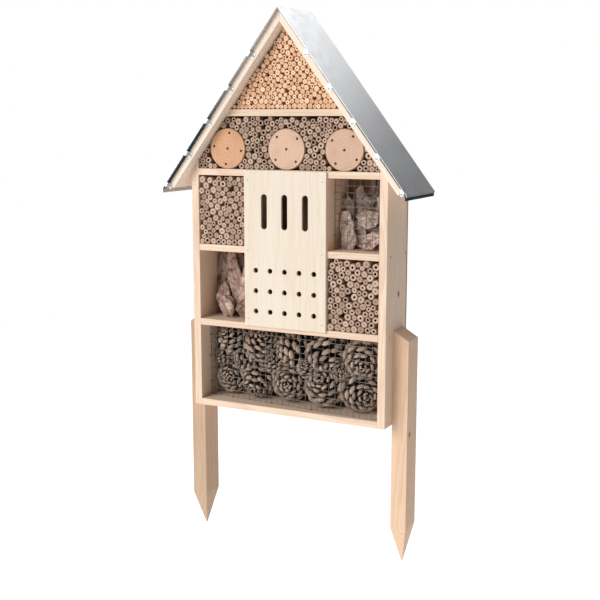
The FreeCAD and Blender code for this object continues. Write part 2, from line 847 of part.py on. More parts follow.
middle_top = middle_shelf + shelf_thickness
lower_top = lower_shelf + shelf_thickness
upper_left_walls = chamber_walls(-inner_half, -box_outer, middle_top, eave_shelf)
upper_left = stack(upper_left_walls, [], *chamber_cane_radii, 1)
lower_right_walls = chamber_walls(box_outer, inner_half, lower_top, middle_shelf)
lower_right = stack(lower_right_walls, [], *chamber_cane_radii, 2)
eave_top = eave_shelf + shelf_thickness
logs = [("round", x, eave_top + log_diameter / 2, log_diameter / 2) for x in log_centres_x]
log_row_walls = chamber_walls(-inner_half, inner_half, eave_top, gable_shelf) + roof_walls()
log_row = stack(log_row_walls, logs, *log_row_cane_radii, 3)
gable_floor = [("wall", 0, 1, gable_shelf + shelf_thickness)]
apex_row = stack(gable_floor + roof_walls(), [], *reed_radii, 4)

save("canes_upper_left", cane_bundle(upper_left, 21, chamber_cane_bores, cane_bore_depth))
save("canes_lower_right", cane_bundle(lower_right, 22, chamber_cane_bores, cane_bore_depth))
save("canes_log_row", cane_bundle(log_row, 23, log_row_cane_bores, cane_bore_depth))
save("reeds_apex", cane_bundle(apex_row, 24, reed_bores, reed_bore_depth))
for node, x, turn in zip(("log_left", "log_middle", "log_right"), log_centres_x, log_hole_turns):
    save(node, log_disc(x, turn))

bark_layers_left = [
    (49.0, -10, (1, 1, 1, 1)), (36.0, 12, (1, 1, 1, 1)), (23.0, -7, (1, 1, 1)),
    (10.5, -15, (0.45, 0.94, 0)), (-1.5, 13, (0, 0.3, 0.88)), (-13.0, -30, (0.36, 0.24, 0.33)),
]
bark_layers_right = [(49.0, 9, (0.9, 1, 1, 1)), (37.0, -10, (0.8, 0.92, 0.8, 1))]
# y, shares of the chamber's width and height, width, height, lean
bark_pieces_right = [
    (25.0, 0.11, 0.60, 24, 40, -10), (25.0, 0.46, 0.66, 38, 28, 16), (25.0, 0.87, 0.62, 30, 46, -25),
    (25.0, 0.28, 0.25, 44, 40, -20), (25.0, 0.80, 0.22, 40, 36, 15),
    (12.5, 0.13, 0.36, 30, 44, 12), (12.5, 0.56, 0.43, 42, 31, -14), (12.5, 0.95, 0.38, 26, 50, -8),
    (12.5, 0.50, 0.10, 40, 30, 25), (0.0, 0.24, 0.15, 36, 40, 38), (0.0, 0.69, 0.13, 40, 30, -18),
]
save("bark_left", Part.makeCompound(
    bark_pile(-inner_half, -box_outer, lower_top, middle_shelf, bark_layers_left, 31)))
right_chamber = (box_outer, inner_half, middle_top, eave_shelf)
save("bark_right", Part.makeCompound(
    bark_pile(*right_chamber, bark_layers_right, 32) + bark_heap(*right_chamber, bark_pieces_right, 33)))
cone_rows = placed_cones()
for index, cone in enumerate(cone_rows + nestled_cones(cone_rows), start=1):
    save(f"pine_cone_{index:02d}", cone)
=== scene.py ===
"""An insect hotel on two ground stakes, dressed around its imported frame.

Each sub-assembly is a class: the wooden case, the roof cover, the fixings, the bundles of canes, the logs,
the wire meshes, the piles of bark and the pine cones. Sizes are in metres unless a comment says otherwise,
Z is up and the chambers open towards -Y.
"""
import logging
import math
import random
from collections.abc import Callable, Sequence
from dataclasses import dataclass, field
from enum import Enum
from functools import partial
from typing import Any

import bmesh
import bpy
import numpy as np
from mathutils import Matrix, Vector, noise


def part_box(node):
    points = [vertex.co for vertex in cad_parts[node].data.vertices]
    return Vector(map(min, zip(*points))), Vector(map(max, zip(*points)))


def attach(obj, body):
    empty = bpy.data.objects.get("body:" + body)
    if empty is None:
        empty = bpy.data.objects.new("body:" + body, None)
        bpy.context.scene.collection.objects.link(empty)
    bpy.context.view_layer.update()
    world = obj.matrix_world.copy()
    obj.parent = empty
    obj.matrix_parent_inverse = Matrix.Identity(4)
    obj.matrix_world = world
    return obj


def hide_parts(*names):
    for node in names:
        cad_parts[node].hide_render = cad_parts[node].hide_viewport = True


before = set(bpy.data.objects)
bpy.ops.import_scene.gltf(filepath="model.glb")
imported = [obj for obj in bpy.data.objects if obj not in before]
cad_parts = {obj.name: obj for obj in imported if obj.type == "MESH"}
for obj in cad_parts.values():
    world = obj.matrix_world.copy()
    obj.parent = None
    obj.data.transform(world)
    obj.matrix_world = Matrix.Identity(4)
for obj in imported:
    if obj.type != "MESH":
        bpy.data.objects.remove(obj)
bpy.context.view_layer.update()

log = logging.getLogger("insect_hotel")
BODY = "root"
MM = 0.001
Colour = tuple[float, float, float, float]
Socket = bpy.types.NodeSocket
Adder = Callable[..., Any]
# The kinds of node that come up often, and the settings that they get unless a call says otherwise.
MATH, VECTOR_MATH, COMBINE = "ShaderNodeMath", "ShaderNodeVectorMath", "ShaderNodeCombineXYZ"
NOISE, VORONOI, ATTRIBUTE = "ShaderNodeTexNoise", "ShaderNodeTexVoronoi", "ShaderNodeAttribute"
MIX, MAP_RANGE, RAMP = "ShaderNodeMix", "ShaderNodeMapRange", "ShaderNodeValToRGB"
NAMED, STORE = "GeometryNodeInputNamedAttribute", "GeometryNodeStoreNamedAttribute"
INSTANCE, REALIZE = "GeometryNodeInstanceOnPoints", "GeometryNodeRealizeInstances"
SET_POSITION, SET_MATERIAL = "GeometryNodeSetPosition", "GeometryNodeSetMaterial"
JOIN, WAVE = "GeometryNodeJoinGeometry", "ShaderNodeTexWave"
USUAL = {MIX: {"data_type": "RGBA"}, NAMED: {"data_type": "FLOAT"},
         STORE: {"data_type": "FLOAT", "domain": "POINT"}}
FACTOR, A, B, RESULT = 0, 6, 7, 2  # sockets of a Mix node set to colours
WAVE_STEP = 0.314  # metres between the lines of a wave texture at a scale of 1
ROOF_TURN = 37.3  # degrees from upright at which the roof boards lie
GOLDEN_ANGLE = math.radians(137.508)


# ------------------------------------------------------------------ helpers
def linear(hex_colour: str, brightness: float = 1.0) -> Colour:
    """Turn an sRGB hex colour into the linear values that shaders use.

    Args:
        hex_colour: A colour such as "#C8A070".
        brightness: A factor on the linear values.

    Returns:
        Red, green, blue and an alpha of 1.
    """
    channels = [int(hex_colour[i:i + 2], 16) / 255 for i in (1, 3, 5)]
    values = [c / 12.92 if c <= 0.04045 else ((c + 0.055) / 1.055) ** 2.4 for c in channels]
    red, green, blue = (min(1.0, value * brightness) for value in values)
    return (red, green, blue, 1.0)


def add_node(tree: bpy.types.NodeTree, kind: str, inputs: dict[str | int, Any] | None = None,
             **settings: Any) -> Any:
    """Add a node with its settings, values and links.

    Args:
        tree: The shader or geometry tree.
        kind: The node's type name.
        inputs: For each input, by name or place, a value, another node's output or a list of outputs.
        settings: Properties of the node; "stops" fills a colour ramp, "curve" gives a float curve's points
            and "items" how many an index switch has.

    Returns:
        The new node's outputs.
    """
    node = tree.nodes.new(kind)
    for name, value in {**USUAL.get(kind, {}), **settings}.items():
        if name == "stops":
            ramp = node.color_ramp.elements
            while len(ramp) < len(value):
                ramp.new(0.5)
            for element, (place, colour) in zip(ramp, value):
                element.position, element.color = place, colour
        elif name == "curve":
            points = node.mapping.curves[0].points
            for place, height in value[1:-1]:
                points.new(place, height)
            points[0].location, points[-1].location = value[0], value[-1]
            node.mapping.update()
        elif name == "items":
            while len(node.index_switch_items) < value:
                node.index_switch_items.new()
        else:
            setattr(node, name, value)
    for key, value in (inputs or {}).items():
        sources = value if isinstance(value, list) else [value]
        if isinstance(sources[0], Socket):
            for source in sources:
                tree.links.new(source, node.inputs[key])
        else:
            node.inputs[key].default_value = value
    return node.outputs


def new_material(name: str) -> tuple[bpy.types.Material, Adder, Socket]:
    """Make an empty material; return it, add_node for its tree, and the object's own coordinates."""
    material = bpy.data.materials.new(name)
    material.use_nodes = True
    material.node_tree.nodes.clear()
    add = partial(add_node, material.node_tree)
    return material, add, add("ShaderNodeTexCoord")["Object"]


def surface(add: Adder, inputs: dict[str | int, Any], height: Socket | None = None,
            depth: float = 0.0002, strength: float = 0.5) -> None:
    """Close a material with its shader, bump and output.

    Args:
        add: add_node for the material's tree.
        inputs: The shader's own sockets.
        height: The bump's height, from 0 to 1.
        depth: How deep the bump is, in metres.
        strength: How strongly the bump tilts the light.
    """
    if height is not None:
        bump = add("ShaderNodeBump", {"Height": height, "Distance": depth, "Strength": strength})
        inputs = {**inputs, "Normal": bump[0]}
    add("ShaderNodeOutputMaterial", {"Surface": add("ShaderNodeBsdfPrincipled", inputs)[0]})


def covered(add: Adder, colour: Any, paint: Any, mask: Socket, limits: tuple[float, float],
            shares: tuple[float, float]) -> Socket:
    """Lay a paint over a colour, its share going from one value to the other as the mask passes its limits.

    Args:
        add: add_node for the material's tree.
        colour: The colour below.
        paint: The colour laid over it.
        mask: What decides where the paint is.
        limits: The mask's values at which the share starts and ends to change.
        shares: The paint's shares at those values.

    Returns:
        The covered colour's socket.
    """
    share = add(MAP_RANGE, {"Value": mask, 1: limits[0], 2: limits[1], 3: shares[0], 4: shares[1]})[0]
    return add(MIX, {FACTOR: share, A: colour, B: paint})[RESULT]


def dulled(add: Adder, colour: Socket, mask: Socket, limits: tuple[float, float],
           dull: tuple[float, float, float], share: float) -> Socket:
    """Darken a colour where a mask is low.

    Args:
        add: add_node for the material's tree.
        colour: The colour to darken.
        mask: What decides where it is dull.
        limits: The mask's values at which it is fully dull and not at all.
        dull: The factors on red, green and blue where it is fully dull.
        share: How much of this is kept.

    Returns:
        The darkened colour's socket.
    """
    cast = add(RAMP, {"Fac": mask}, stops=[(limits[0], (*dull, 1)), (limits[1], (1, 1, 1, 1))])[0]
    return add(MIX, {FACTOR: share, A: colour, B: cast}, blend_type="MULTIPLY")[RESULT]


def dress(node: str, material: bpy.types.Material) -> None:
    """Give a CAD node its finish."""
    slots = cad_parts[node].data.materials
    slots.clear()
    slots.append(material)


def seat(piece: bpy.types.Object, slot: str, *nodes: str) -> None:
    """Tie a finished piece to the frame, in place of the CAD nodes that it stands for."""
    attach(piece, BODY)
    if nodes:
        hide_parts(*nodes)
    log.info("%s: %d faces", piece.name, len(piece.data.polygons))


def new_object(name: str, mesh: bpy.types.Mesh) -> bpy.types.Object:
    """Link a mesh into the scene as an object at the origin."""
    thing = bpy.data.objects.new(name, mesh)
    bpy.context.scene.collection.objects.link(thing)
    return thing


def solids_of(node: str) -> list[tuple[np.ndarray, list[list[int]]]]:
    """List the separate solids of a CAD node, each as its corner points and its faces."""
    whole = bmesh.new()
    whole.from_mesh(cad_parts[node].data)
    bmesh.ops.remove_doubles(whole, verts=whole.verts, dist=1e-6)
    whole.verts.index_update()
    whole.faces.index_update()
    seen: set[int] = set()
    found = []
    for first in whole.verts:
        if first.index in seen:
            continue
        seen.add(first.index)
        reach, place, faces = [first], {}, {}
        while reach:
            corner = reach.pop()
            place[corner] = len(place)
            faces.update({face.index: face for face in corner.link_faces})
            for edge in corner.link_edges:
                other = edge.other_vert(corner)
                if other.index not in seen:
                    seen.add(other.index)
                    reach.append(other)
        found.append((np.array([tuple(corner.co) for corner in place]),
                      [[place[corner] for corner in faces[number].verts] for number in sorted(faces)]))
    whole.free()
    return sorted(found, key=lambda solid: tuple(np.round(solid[0].min(0), 5)))


def points_mesh(name: str, places: Sequence[Sequence[float]],
    facts: dict[str, Sequence[float]]) -> bpy.types.Mesh:
    """Make a mesh of loose points that carry named values.

    Args:
        name: The mesh's name.
        places: Where the points are.
        facts: For each attribute name, one number or one vector per point.

    Returns:
        The mesh that a geometry tree grows from.
    """
    mesh = bpy.data.meshes.new(name)
    mesh.from_pydata([tuple(place) for place in places], [], [])
    for title, values in facts.items():
        flat = np.array(values, np.float32)
        kind = "FLOAT" if flat.ndim == 1 else "FLOAT_VECTOR"
        store = mesh.attributes.new(title, kind, "POINT")
        store.data.foreach_set("value" if flat.ndim == 1 else "vector", flat.ravel())
    return mesh


def grown(name: str, base: bpy.types.Mesh, tree: bpy.types.NodeTree, values: dict[str, Any],
          crease: float = 40.0) -> bpy.types.Object:
    """Grow a geometry tree on a base mesh and keep the result as a plain mesh.

    Args:
        name: The finished piece's name.
        base: The mesh that the tree starts from.
        tree: The geometry tree.
        values: The tree's named inputs.
        crease: Angle in degrees past which an edge stays sharp.

    Returns:
        The finished object, with outward faces and no modifier.
    """
    host = new_object(name + "_base", base)
    modifier = host.modifiers.new("Shape", "NODES")
    modifier.node_group = tree
    for item in tree.interface.items_tree:
        if item.item_type == "SOCKET" and item.in_out == "INPUT" and item.name in values:
            modifier[item.identifier] = values[item.name]
    graph = bpy.context.evaluated_depsgraph_get()
    mesh = bpy.data.meshes.new_from_object(host.evaluated_get(graph), preserve_all_data_layers=True,
        depsgraph=graph)
    bpy.data.objects.remove(host)
    mesh.name = name
    outward(mesh, crease)
    return new_object(name, mesh)


def outward(mesh: bpy.types.Mesh, crease: float) -> None:
    """Merge doubles, point faces outwards and keep edges past the crease angle, in degrees, sharp."""
    shape = bmesh.new()
    shape.from_mesh(mesh)
    bmesh.ops.remove_doubles(shape, verts=shape.verts, dist=2e-6)
    bmesh.ops.recalc_face_normals(shape, faces=shape.faces)
    shape.to_mesh(mesh)
    shape.free()
    mesh.polygons.foreach_set("use_smooth", [True] * len(mesh.polygons))
    mesh.set_sharp_from_angle(angle=math.radians(crease))


def geometry_tree(name: str, sizes: dict[str, tuple[str, Any]]) -> tuple[bpy.types.NodeTree, Adder, Any]:
    """Start a geometry tree with named inputs.

    Args:
        name: The tree's name.
        sizes: For each input, its socket type without "NodeSocket", and its starting value.

    Returns:
        The tree, add_node for that tree, and the sockets of its inputs.
    """
    tree = bpy.data.node_groups.new(name, "GeometryNodeTree")
    tree.interface.new_socket("Geometry", in_out="INPUT", socket_type="NodeSocketGeometry")
    tree.interface.new_socket("Geometry", in_out="OUTPUT", socket_type="NodeSocketGeometry")
    for title, (kind, value) in sizes.items():
        socket = tree.interface.new_socket(title, in_out="INPUT", socket_type="NodeSocket" + kind)
        if value is not None:
            socket.default_value = value
    add = partial(add_node, tree)
    return tree, add, add("NodeGroupInput")


def close_tree(add: Adder, shape: Socket, finish: Socket) -> None:
    """End a geometry tree: make its instances real and give the result its finish."""
    real = add(REALIZE, {0: shape})[0]
    add("NodeGroupOutput", {"Geometry": add(SET_MATERIAL, {"Geometry": real, "Material": finish})[0]})


def lathe(name: str, profile: Sequence[tuple[float, float]], sides: int) -> bpy.types.Mesh:
    """Turn a profile about Z into a closed mesh.

    Args:
        name: The mesh's name.
        profile: Radius and height pairs, from one pole to the other.
        sides: How many sides the turned shape has.

    Returns:
        The closed mesh.
    """
    shape = bmesh.new()
    rings = []
    for radius, height in profile:
        if radius == 0:
            rings.append([shape.verts.new((0, 0, height))])
            continue
        turns = [2 * math.pi * step / sides for step in range(sides)]
        rings.append([shape.verts.new((radius * math.cos(a), radius * math.sin(a), height)) for a in turns])
    for low, high in zip(rings, rings[1:]):
        for step in range(sides):
            after = (step + 1) % sides
            corners = [low[step % len(low)], low[after % len(low)], high[after % len(high)],
                high[step % len(high)]]
            shape.faces.new(list(dict.fromkeys(corners)))
    mesh = bpy.data.meshes.new(name)
    bmesh.ops.recalc_face_normals(shape, faces=shape.faces)
    shape.to_mesh(mesh)
    shape.free()
    return mesh


# ------------------------------------------------------------------ finishes
class Grain(Enum):
    """Which way a board's fibres run, as the turn about Y in degrees that brings them upright."""

    UPRIGHT = 0.0
    LEVEL = -90.0
    LEFT_SLOPE = -ROOF_TURN
    RIGHT_SLOPE = ROOF_TURN


@dataclass(frozen=True)
class Knot:
    """A knot through a board: its centre and how far it spreads along X, Y and Z, in millimetres."""

    centre: tuple[float, float, float]
    spread: tuple[float, float, float]


@dataclass(frozen=True)
class Timber:
    """Softwood, sawn and planed, unfinished."""

    name: str
    early: str
    late: str
    ring: float = 5.0
    contrast: float = 0.55
    roughness: float = 0.6
    knot_heart: str = "#8C5A36"
    knot_rim: str = "#4A2C18"

    def made(self, node: str, grain: Grain, seed: int, knots: Sequence[Knot] = (),
             tone: float = 1.0) -> bpy.types.Material:
        """Build the finish for one board.

        Args:
            node: The board's CAD node, whose middle centres the pattern.
            grain: Which way the fibres run.
            seed: Sets where the board was cut from the trunk and its tone.
            knots: The knots that show on it.
            tone: The board's own brightness.

        Returns:
            The material.
        """
        chance = random.Random(seed)
        material, add, point = new_material(f"{self.name}_{node}")
        low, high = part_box(node)
        turn = Matrix.Rotation(math.radians(grain.value), 3, "Y")
        aside, away = chance.uniform(18, 45), chance.choice((-1, 1)) * chance.uniform(40, 90)
        pith = Vector((aside * MM, away * MM, 0))
        shift = pith - turn @ ((low + high) / 2)
        aligned = add("ShaderNodeMapping", {"Vector": point, "Rotation": (0, math.radians(grain.value), 0),
            "Location": shift})[0]
        # Slow wander of the fibres: about 40 mm wide and 500 mm long.
        slow = add("ShaderNodeMapping", {"Vector": aligned, "Scale": (25, 25, 2.2)})[0]
        wander = add(NOISE, {"Vector": slow, "Scale": 1.0, "Detail": 2.0})["Color"]
        centred = add(VECTOR_MATH, {0: wander, 1: (0.5, 0.5, 0.5)}, operation="SUBTRACT")
        offset = add(VECTOR_MATH, {0: centred[0], "Scale": 0.045}, operation="SCALE")
        bent = add(VECTOR_MATH, {0: aligned, 1: offset[0]}, operation="ADD")[0]
        # Growth rings round the pith, each from pale spring wood to a thin darker line.
        rings = add(WAVE, {"Vector": bent, "Scale": WAVE_STEP / (self.ring * MM), "Distortion": 0.6,
                           "Detail": 2.0, "Detail Scale": 1.5},
                    wave_type="RINGS", rings_direction="Z", wave_profile="SAW")
        early = linear(self.early, tone * chance.uniform(0.96, 1.04))
        late = linear(self.late, tone * chance.uniform(0.94, 1.04))
        greys = ((0.0, 0.05), (0.45, 0.15), (0.88, 1), (1.0, 0.1))
        ring_mask = add(RAMP, {"Fac": rings["Fac"]},
                        stops=[(place, (grey, grey, grey, 1)) for place, grey in greys])[0]
        ring_share = add(MATH, {0: ring_mask, 1: self.contrast}, operation="MULTIPLY")
        colour = add(MIX, {FACTOR: ring_share[0], A: early, B: late})[RESULT]
        # Fibre streaks about 1.5 mm wide and 60 mm long, drawn coarser than real fibres so that they show.
        fine = add("ShaderNodeMapping", {"Vector": aligned, "Scale": (1, 1, 0.025)})[0]
        fibre = add(NOISE, {"Vector": fine, "Scale": 650.0, "Detail": 4.0, "Roughness": 0.65})["Fac"]
        colour = dulled(add, colour, fibre, (0.3, 0.62), (0.80, 0.77, 0.73), 0.6)
        # Broad tone: sapwood to heartwood over about 120 mm.
        broad = add(NOISE, {"Vector": slow, "Scale": 0.35, "Detail": 1.0})["Fac"]
        colour = dulled(add, colour, broad, (0.3, 0.7), (0.93, 0.89, 0.84), 0.8)
        for knot in knots:
            away = add(VECTOR_MATH, {0: point, 1: [value * MM for value in knot.centre]},
                operation="SUBTRACT")[0]
            scaled = add(VECTOR_MATH, {0: away, 1: [value * MM for value in knot.spread]},
                operation="DIVIDE")[0]
            ragged = add(NOISE, {"Vector": point, "Scale": 260.0, "Detail": 2.0})
            reach = add(VECTOR_MATH, {0: scaled}, operation="LENGTH")["Value"]
            reach = add(MATH, {0: ragged["Fac"], 1: 0.35, 2: reach}, operation="MULTIPLY_ADD")[0]
            for paint, limits, shares in ((linear(self.late, 0.75), (1.0, 2.3), (0.55, 0.0)),
                                          (linear(self.knot_rim), (1.0, 1.25), (1.0, 0.0)),
                                          (linear(self.knot_heart), (0.65, 0.9), (1.0, 0.0))):
                colour = covered(add, colour, paint, reach, limits, shares)
        height = add(MATH, {0: ring_mask, 1: 0.35, 2: fibre}, operation="MULTIPLY_ADD")
        surface(add, {"Base Color": colour, "Roughness": self.roughness, "Specular IOR Level": 0.35},
                height[0], 0.15 * MM, 0.5)
        return material


# Spruce, planed: warm cream with soft straight growth lines and a dull sheen.
SPRUCE = Timber("planed_spruce", "#EFD8C3", "#D8B296", contrast=0.45)
# Spruce for the roof boards, the same stock, coloured paler as painted light on the brightly lit roof
# boards.
PAINTED_LIGHT_ROOF_SPRUCE = Timber("planed_spruce_roof_painted_light", "#FAEDE0", "#E8CCB4", contrast=0.35)
# Pine, sawn and planed: more orange than the case, with stronger lines down its length.
PINE = Timber("planed_pine", "#E6C6AA", "#CBA07C", ring=6.5, contrast=0.35)
# Poplar plywood, sanded: almost plain pale cream with a faint figure.
POPLAR = Timber("sanded_poplar", "#E9DDCC", "#DFCBB4", ring=11.0, contrast=0.25, roughness=0.5)


@dataclass(frozen=True)
class Hardboard:
    """Brown hardboard, pressed: dark, even and almost smooth, with fine pressed fibres."""

    # The back panel is hardboard, and its dark brown also stands in for the shade deep in the chambers:
    # painted shade.
    name: str = "pressed_hardboard_painted_shade"
    light: str = "#A27C58"
    dark: str = "#886648"

    def made(self) -> bpy.types.Material:
        """Build the finish."""
        material, add, point = new_material(self.name)
        # Pressed fibres of about 1 mm, and clouds of tone about 60 mm across.
        fibre = add(NOISE, {"Vector": point, "Scale": 900.0, "Detail": 4.0, "Distortion": 1.5})["Fac"]
        cloud = add(NOISE, {"Vector": point, "Scale": 16.0, "Detail": 2.0})["Fac"]
        both = add(MATH, {0: cloud, 1: 0.3, 2: fibre}, operation="MULTIPLY_ADD")[0]
        colour = covered(add, linear(self.dark), linear(self.light), both, (0.4, 0.9), (0.0, 1.0))
        surface(add, {"Base Color": colour, "Roughness": 0.55, "Specular IOR Level": 0.35},
            fibre, 0.1 * MM, 0.4)
        return material


@dataclass(frozen=True)
class GalvanisedSheet:
    """Steel sheet, hot-dip galvanised: cool grey with a faint crystal spangle and a soft, dull shine."""

    name: str = "galvanised_sheet"
    colour: str = "#CACBCD"
    spangle: float = 11.0

    def made(self) -> bpy.types.Material:
        """Build the finish."""
        material, add, point = new_material(self.name)
        ragged = add(NOISE, {"Vector": point, "Scale": 90.0, "Detail": 2.0})["Color"]
        nudge = add(VECTOR_MATH, {0: ragged, 1: (0.006, 0.006, 0.006), 2: point},
            operation="MULTIPLY_ADD")[0]
        # Zinc crystals of about 11 mm.
        cells = add(VORONOI, {"Vector": nudge, "Scale": 1 / (self.spangle * MM)})["Color"]
        grey = add("ShaderNodeRGBToBW", {0: cells})[0]
        # Cloudy white bloom where the zinc has dulled, 80 mm across.
        bloom = add(NOISE, {"Vector": point, "Scale": 12.0, "Detail": 4.0})["Fac"]
        tone = add(MIX, {FACTOR: grey, A: linear(self.colour, 0.93), B: linear(self.colour, 1.05)})[RESULT]
        tone = covered(add, tone, linear("#D8DADD"), bloom, (0.4, 0.75), (0.0, 0.35))
        rough = add(MAP_RANGE, {"Value": grey, 1: 0.2, 2: 0.8, 3: 0.33, 4: 0.40})[0]
        fine = add(NOISE, {"Vector": point, "Scale": 900.0, "Detail": 2.0})["Fac"]
        wave = add(NOISE, {"Vector": point, "Scale": 9.0, "Detail": 1.0})["Fac"]
        height = add(MATH, {0: fine, 1: 0.03, 2: wave}, operation="MULTIPLY_ADD")[0]
        surface(add, {"Base Color": tone, "Metallic": 0.85, "Roughness": rough}, height, 0.8 * MM, 0.4)
        return material


@dataclass(frozen=True)
class BitumenFelt:
    """Roofing felt, bitumen with mineral grit: near black, quite matt, with a sandy grain.

    It is painted pale towards the ridge, a painted reflection of the bright surround there, and it is
    pale on the inward side of the strip that hangs at the eaves.
    """

    name: str = "bitumen_felt"
    grit: float = 1.4
    # Heights in metres over which the painted reflection fades in towards the ridge.
    painted_reflection_from: float = 0.80
    painted_reflection_full: float = 0.93
    strip_top: float = 0.6905

    def made(self) -> bpy.types.Material:
        """Build the finish."""
        material, add, point = new_material(self.name)
        grains = add(VORONOI, {"Vector": point, "Scale": 1 / (self.grit * MM)})
        grey = add("ShaderNodeRGBToBW", {0: grains["Color"]})[0]
        colour = add(MIX, {FACTOR: grey, A: linear("#1B2024"), B: linear("#414A50")})[RESULT]
        place = add("ShaderNodeSeparateXYZ", {0: point})
        facing = add("ShaderNodeNewGeometry")["Normal"]
        sideways = add("ShaderNodeSeparateXYZ", {0: facing})["X"]
        side = add(MATH, {0: place["X"]}, operation="SIGN")[0]
        inward = add(MATH, {0: sideways, 1: side}, operation="MULTIPLY")[0]
        inward = add(MATH, {0: inward, 1: -0.3}, operation="LESS_THAN")[0]
        strip = add(MATH, {0: place["Z"], 1: self.strip_top}, operation="LESS_THAN")[0]
        strip = add(MATH, {0: strip, 1: inward}, operation="MULTIPLY")[0]
        # Painted reflection: the felt turns pale with height, standing in for the bright surround reflected
        # near the ridge.
        painted_reflection = add(MAP_RANGE, {"Value": place["Z"], 1: self.painted_reflection_from, 2: self.painted_reflection_full, 3: 0.0,
            4: 0.95})[0]
        pale = add(MATH, {0: painted_reflection, 1: strip}, operation="MAXIMUM")[0]
        pale_grey = add(MIX, {FACTOR: grey, A: linear("#B5AFA6"), B: linear("#D9D4CB")})[RESULT]
        colour = add(MIX, {FACTOR: pale, A: colour, B: pale_grey})[RESULT]
        surface(add, {"Base Color": colour, "Roughness": 0.92, "Specular IOR Level": 0.25},
                grains["Distance"], 0.8 * MM, 0.8)
        return material


@dataclass(frozen=True)
class BrightMetal:
    """Zinc-plated or galvanised wire goods: light grey, fairly shiny, a little uneven."""

    name: str
    colour: str = "#A9ABAA"
    roughness: float = 0.38
    metallic: float = 1.0

    def made(self) -> bpy.types.Material:
        """Build the finish."""
        material, add, point = new_material(self.name)
        patch = add(NOISE, {"Vector": point, "Scale": 400.0, "Detail": 3.0})["Fac"]
        colour = add(MIX, {FACTOR: patch, A: linear(self.colour, 0.75),
            B: linear(self.colour, 1.15)})[RESULT]
        rough = add(MAP_RANGE, {"Value": patch, 1: 0.3, 2: 0.7, 3: self.roughness - 0.08,
            4: self.roughness + 0.12})[0]
        surface(add, {"Base Color": colour, "Metallic": self.metallic, "Roughness": rough}, patch,
            0.05 * MM, 0.4)
        return material


@dataclass(frozen=True)
class StemFinish:
    """The three faces of a cut hollow stem: its skin, its sawn end and the bore or pith within.

    They read three values that the stems carry: "rim", from the bore to the skin, "shade", the stem's tone,
    which for the reeds also holds painted shade towards the bundle's sides, and "plug", whether pith fills
    the bore.
    """

    name: str
    wax: str
    end_dark: str
    end_light: str
    rim: str
    bore: str
    pith: str
    fibre: float = 0.8

    def made(self) -> dict[str, bpy.types.Material]:
        """Build the three finishes, by the names of the stem tree's inputs."""
        return {"Skin": self.skin(), "End": self.end(), "Bore": self.inside()}

    def skin(self) -> bpy.types.Material:
        """Build the outer skin: smooth, waxy, with fine lines along the stem."""
        material, add, point = new_material(self.name + "_skin")
        along = add("ShaderNodeMapping", {"Vector": point, "Scale": (1, 0.03, 1)})[0]
        line = add(NOISE, {"Vector": along, "Scale": 700.0, "Detail": 3.0})["Fac"]
        shade = add(ATTRIBUTE, attribute_name="shade")["Fac"]
        colour = add(MIX, {FACTOR: line, A: linear(self.wax, 0.7), B: linear(self.wax, 1.2)})[RESULT]
        colour = add(MIX, {FACTOR: shade, A: colour, B: linear(self.end_dark, 0.8)})[RESULT]
        surface(add, {"Base Color": colour, "Roughness": 0.42, "Specular IOR Level": 0.45},
            line, 0.1 * MM, 0.4)
        return material

    def end(self) -> bpy.types.Material:
        """Build the sawn end: dotted with fibre bundles, denser and darker towards the skin."""
        material, add, point = new_material(self.name + "_end")
        dots = add(VORONOI, {"Vector": point, "Scale": 1 / (self.fibre * MM)})["Distance"]
        patch = add(NOISE, {"Vector": point, "Scale": 180.0, "Detail": 3.0})["Fac"]
        shade = add(ATTRIBUTE, attribute_name="shade")["Fac"]
        rim = add(ATTRIBUTE, attribute_name="rim")["Fac"]
        colour = add(MIX, {FACTOR: shade, A: linear(self.end_light), B: linear(self.end_dark)})[RESULT]
        colour = covered(add, colour, linear(self.rim), dots, (0.15, 0.5), (0.55, 0.0))
        colour = covered(add, colour, linear(self.rim), rim, (0.6, 1.0), (0.0, 0.7))
        colour = dulled(add, colour, patch, (0.35, 0.6), (0.78, 0.74, 0.70), 0.7)
        surface(add, {"Base Color": colour, "Roughness": 0.8, "Specular IOR Level": 0.2},
            dots, 0.3 * MM, 0.5)
        return material

    def inside(self) -> bpy.types.Material:
        """Build the inside: a bore painted dark as painted shade, or brown pith where the stem is plugged.
        """
        material, add, point = new_material(self.name + "_bore")
        patch = add(NOISE, {"Vector": point, "Scale": 900.0, "Detail": 3.0})["Fac"]
        plug = add(ATTRIBUTE, attribute_name="plug")["Fac"]
        # Painted shade: the open bore is coloured dark for the shade inside the hole.
        dark = add(MIX, {FACTOR: patch, A: linear(self.bore, 0.6), B: linear(self.bore, 1.3)})[RESULT]
        soft = add(MIX, {FACTOR: patch, A: linear(self.pith, 0.7), B: linear(self.pith, 1.2)})[RESULT]
        colour = add(MIX, {FACTOR: plug, A: dark, B: soft})[RESULT]
        surface(add, {"Base Color": colour, "Roughness": 0.9, "Specular IOR Level": 0.15},
            patch, 0.3 * MM, 0.7)
        return material


# Bamboo, sawn across: grey-tan ends with a darker woody ring and mostly clean bores.
BAMBOO = StemFinish("bamboo", "#C2A68C", "#A88C78", "#D6BCA8", "#8C7060", "#3A2820", "#98796A")
# Reed, cut: thinner walled and more orange than the bamboo.
REED = StemFinish("reed", "#F5CCA6", "#E6B995", "#FFDDBE", "#D5A480", "#9C7658", "#E2B591", fibre=0.6)


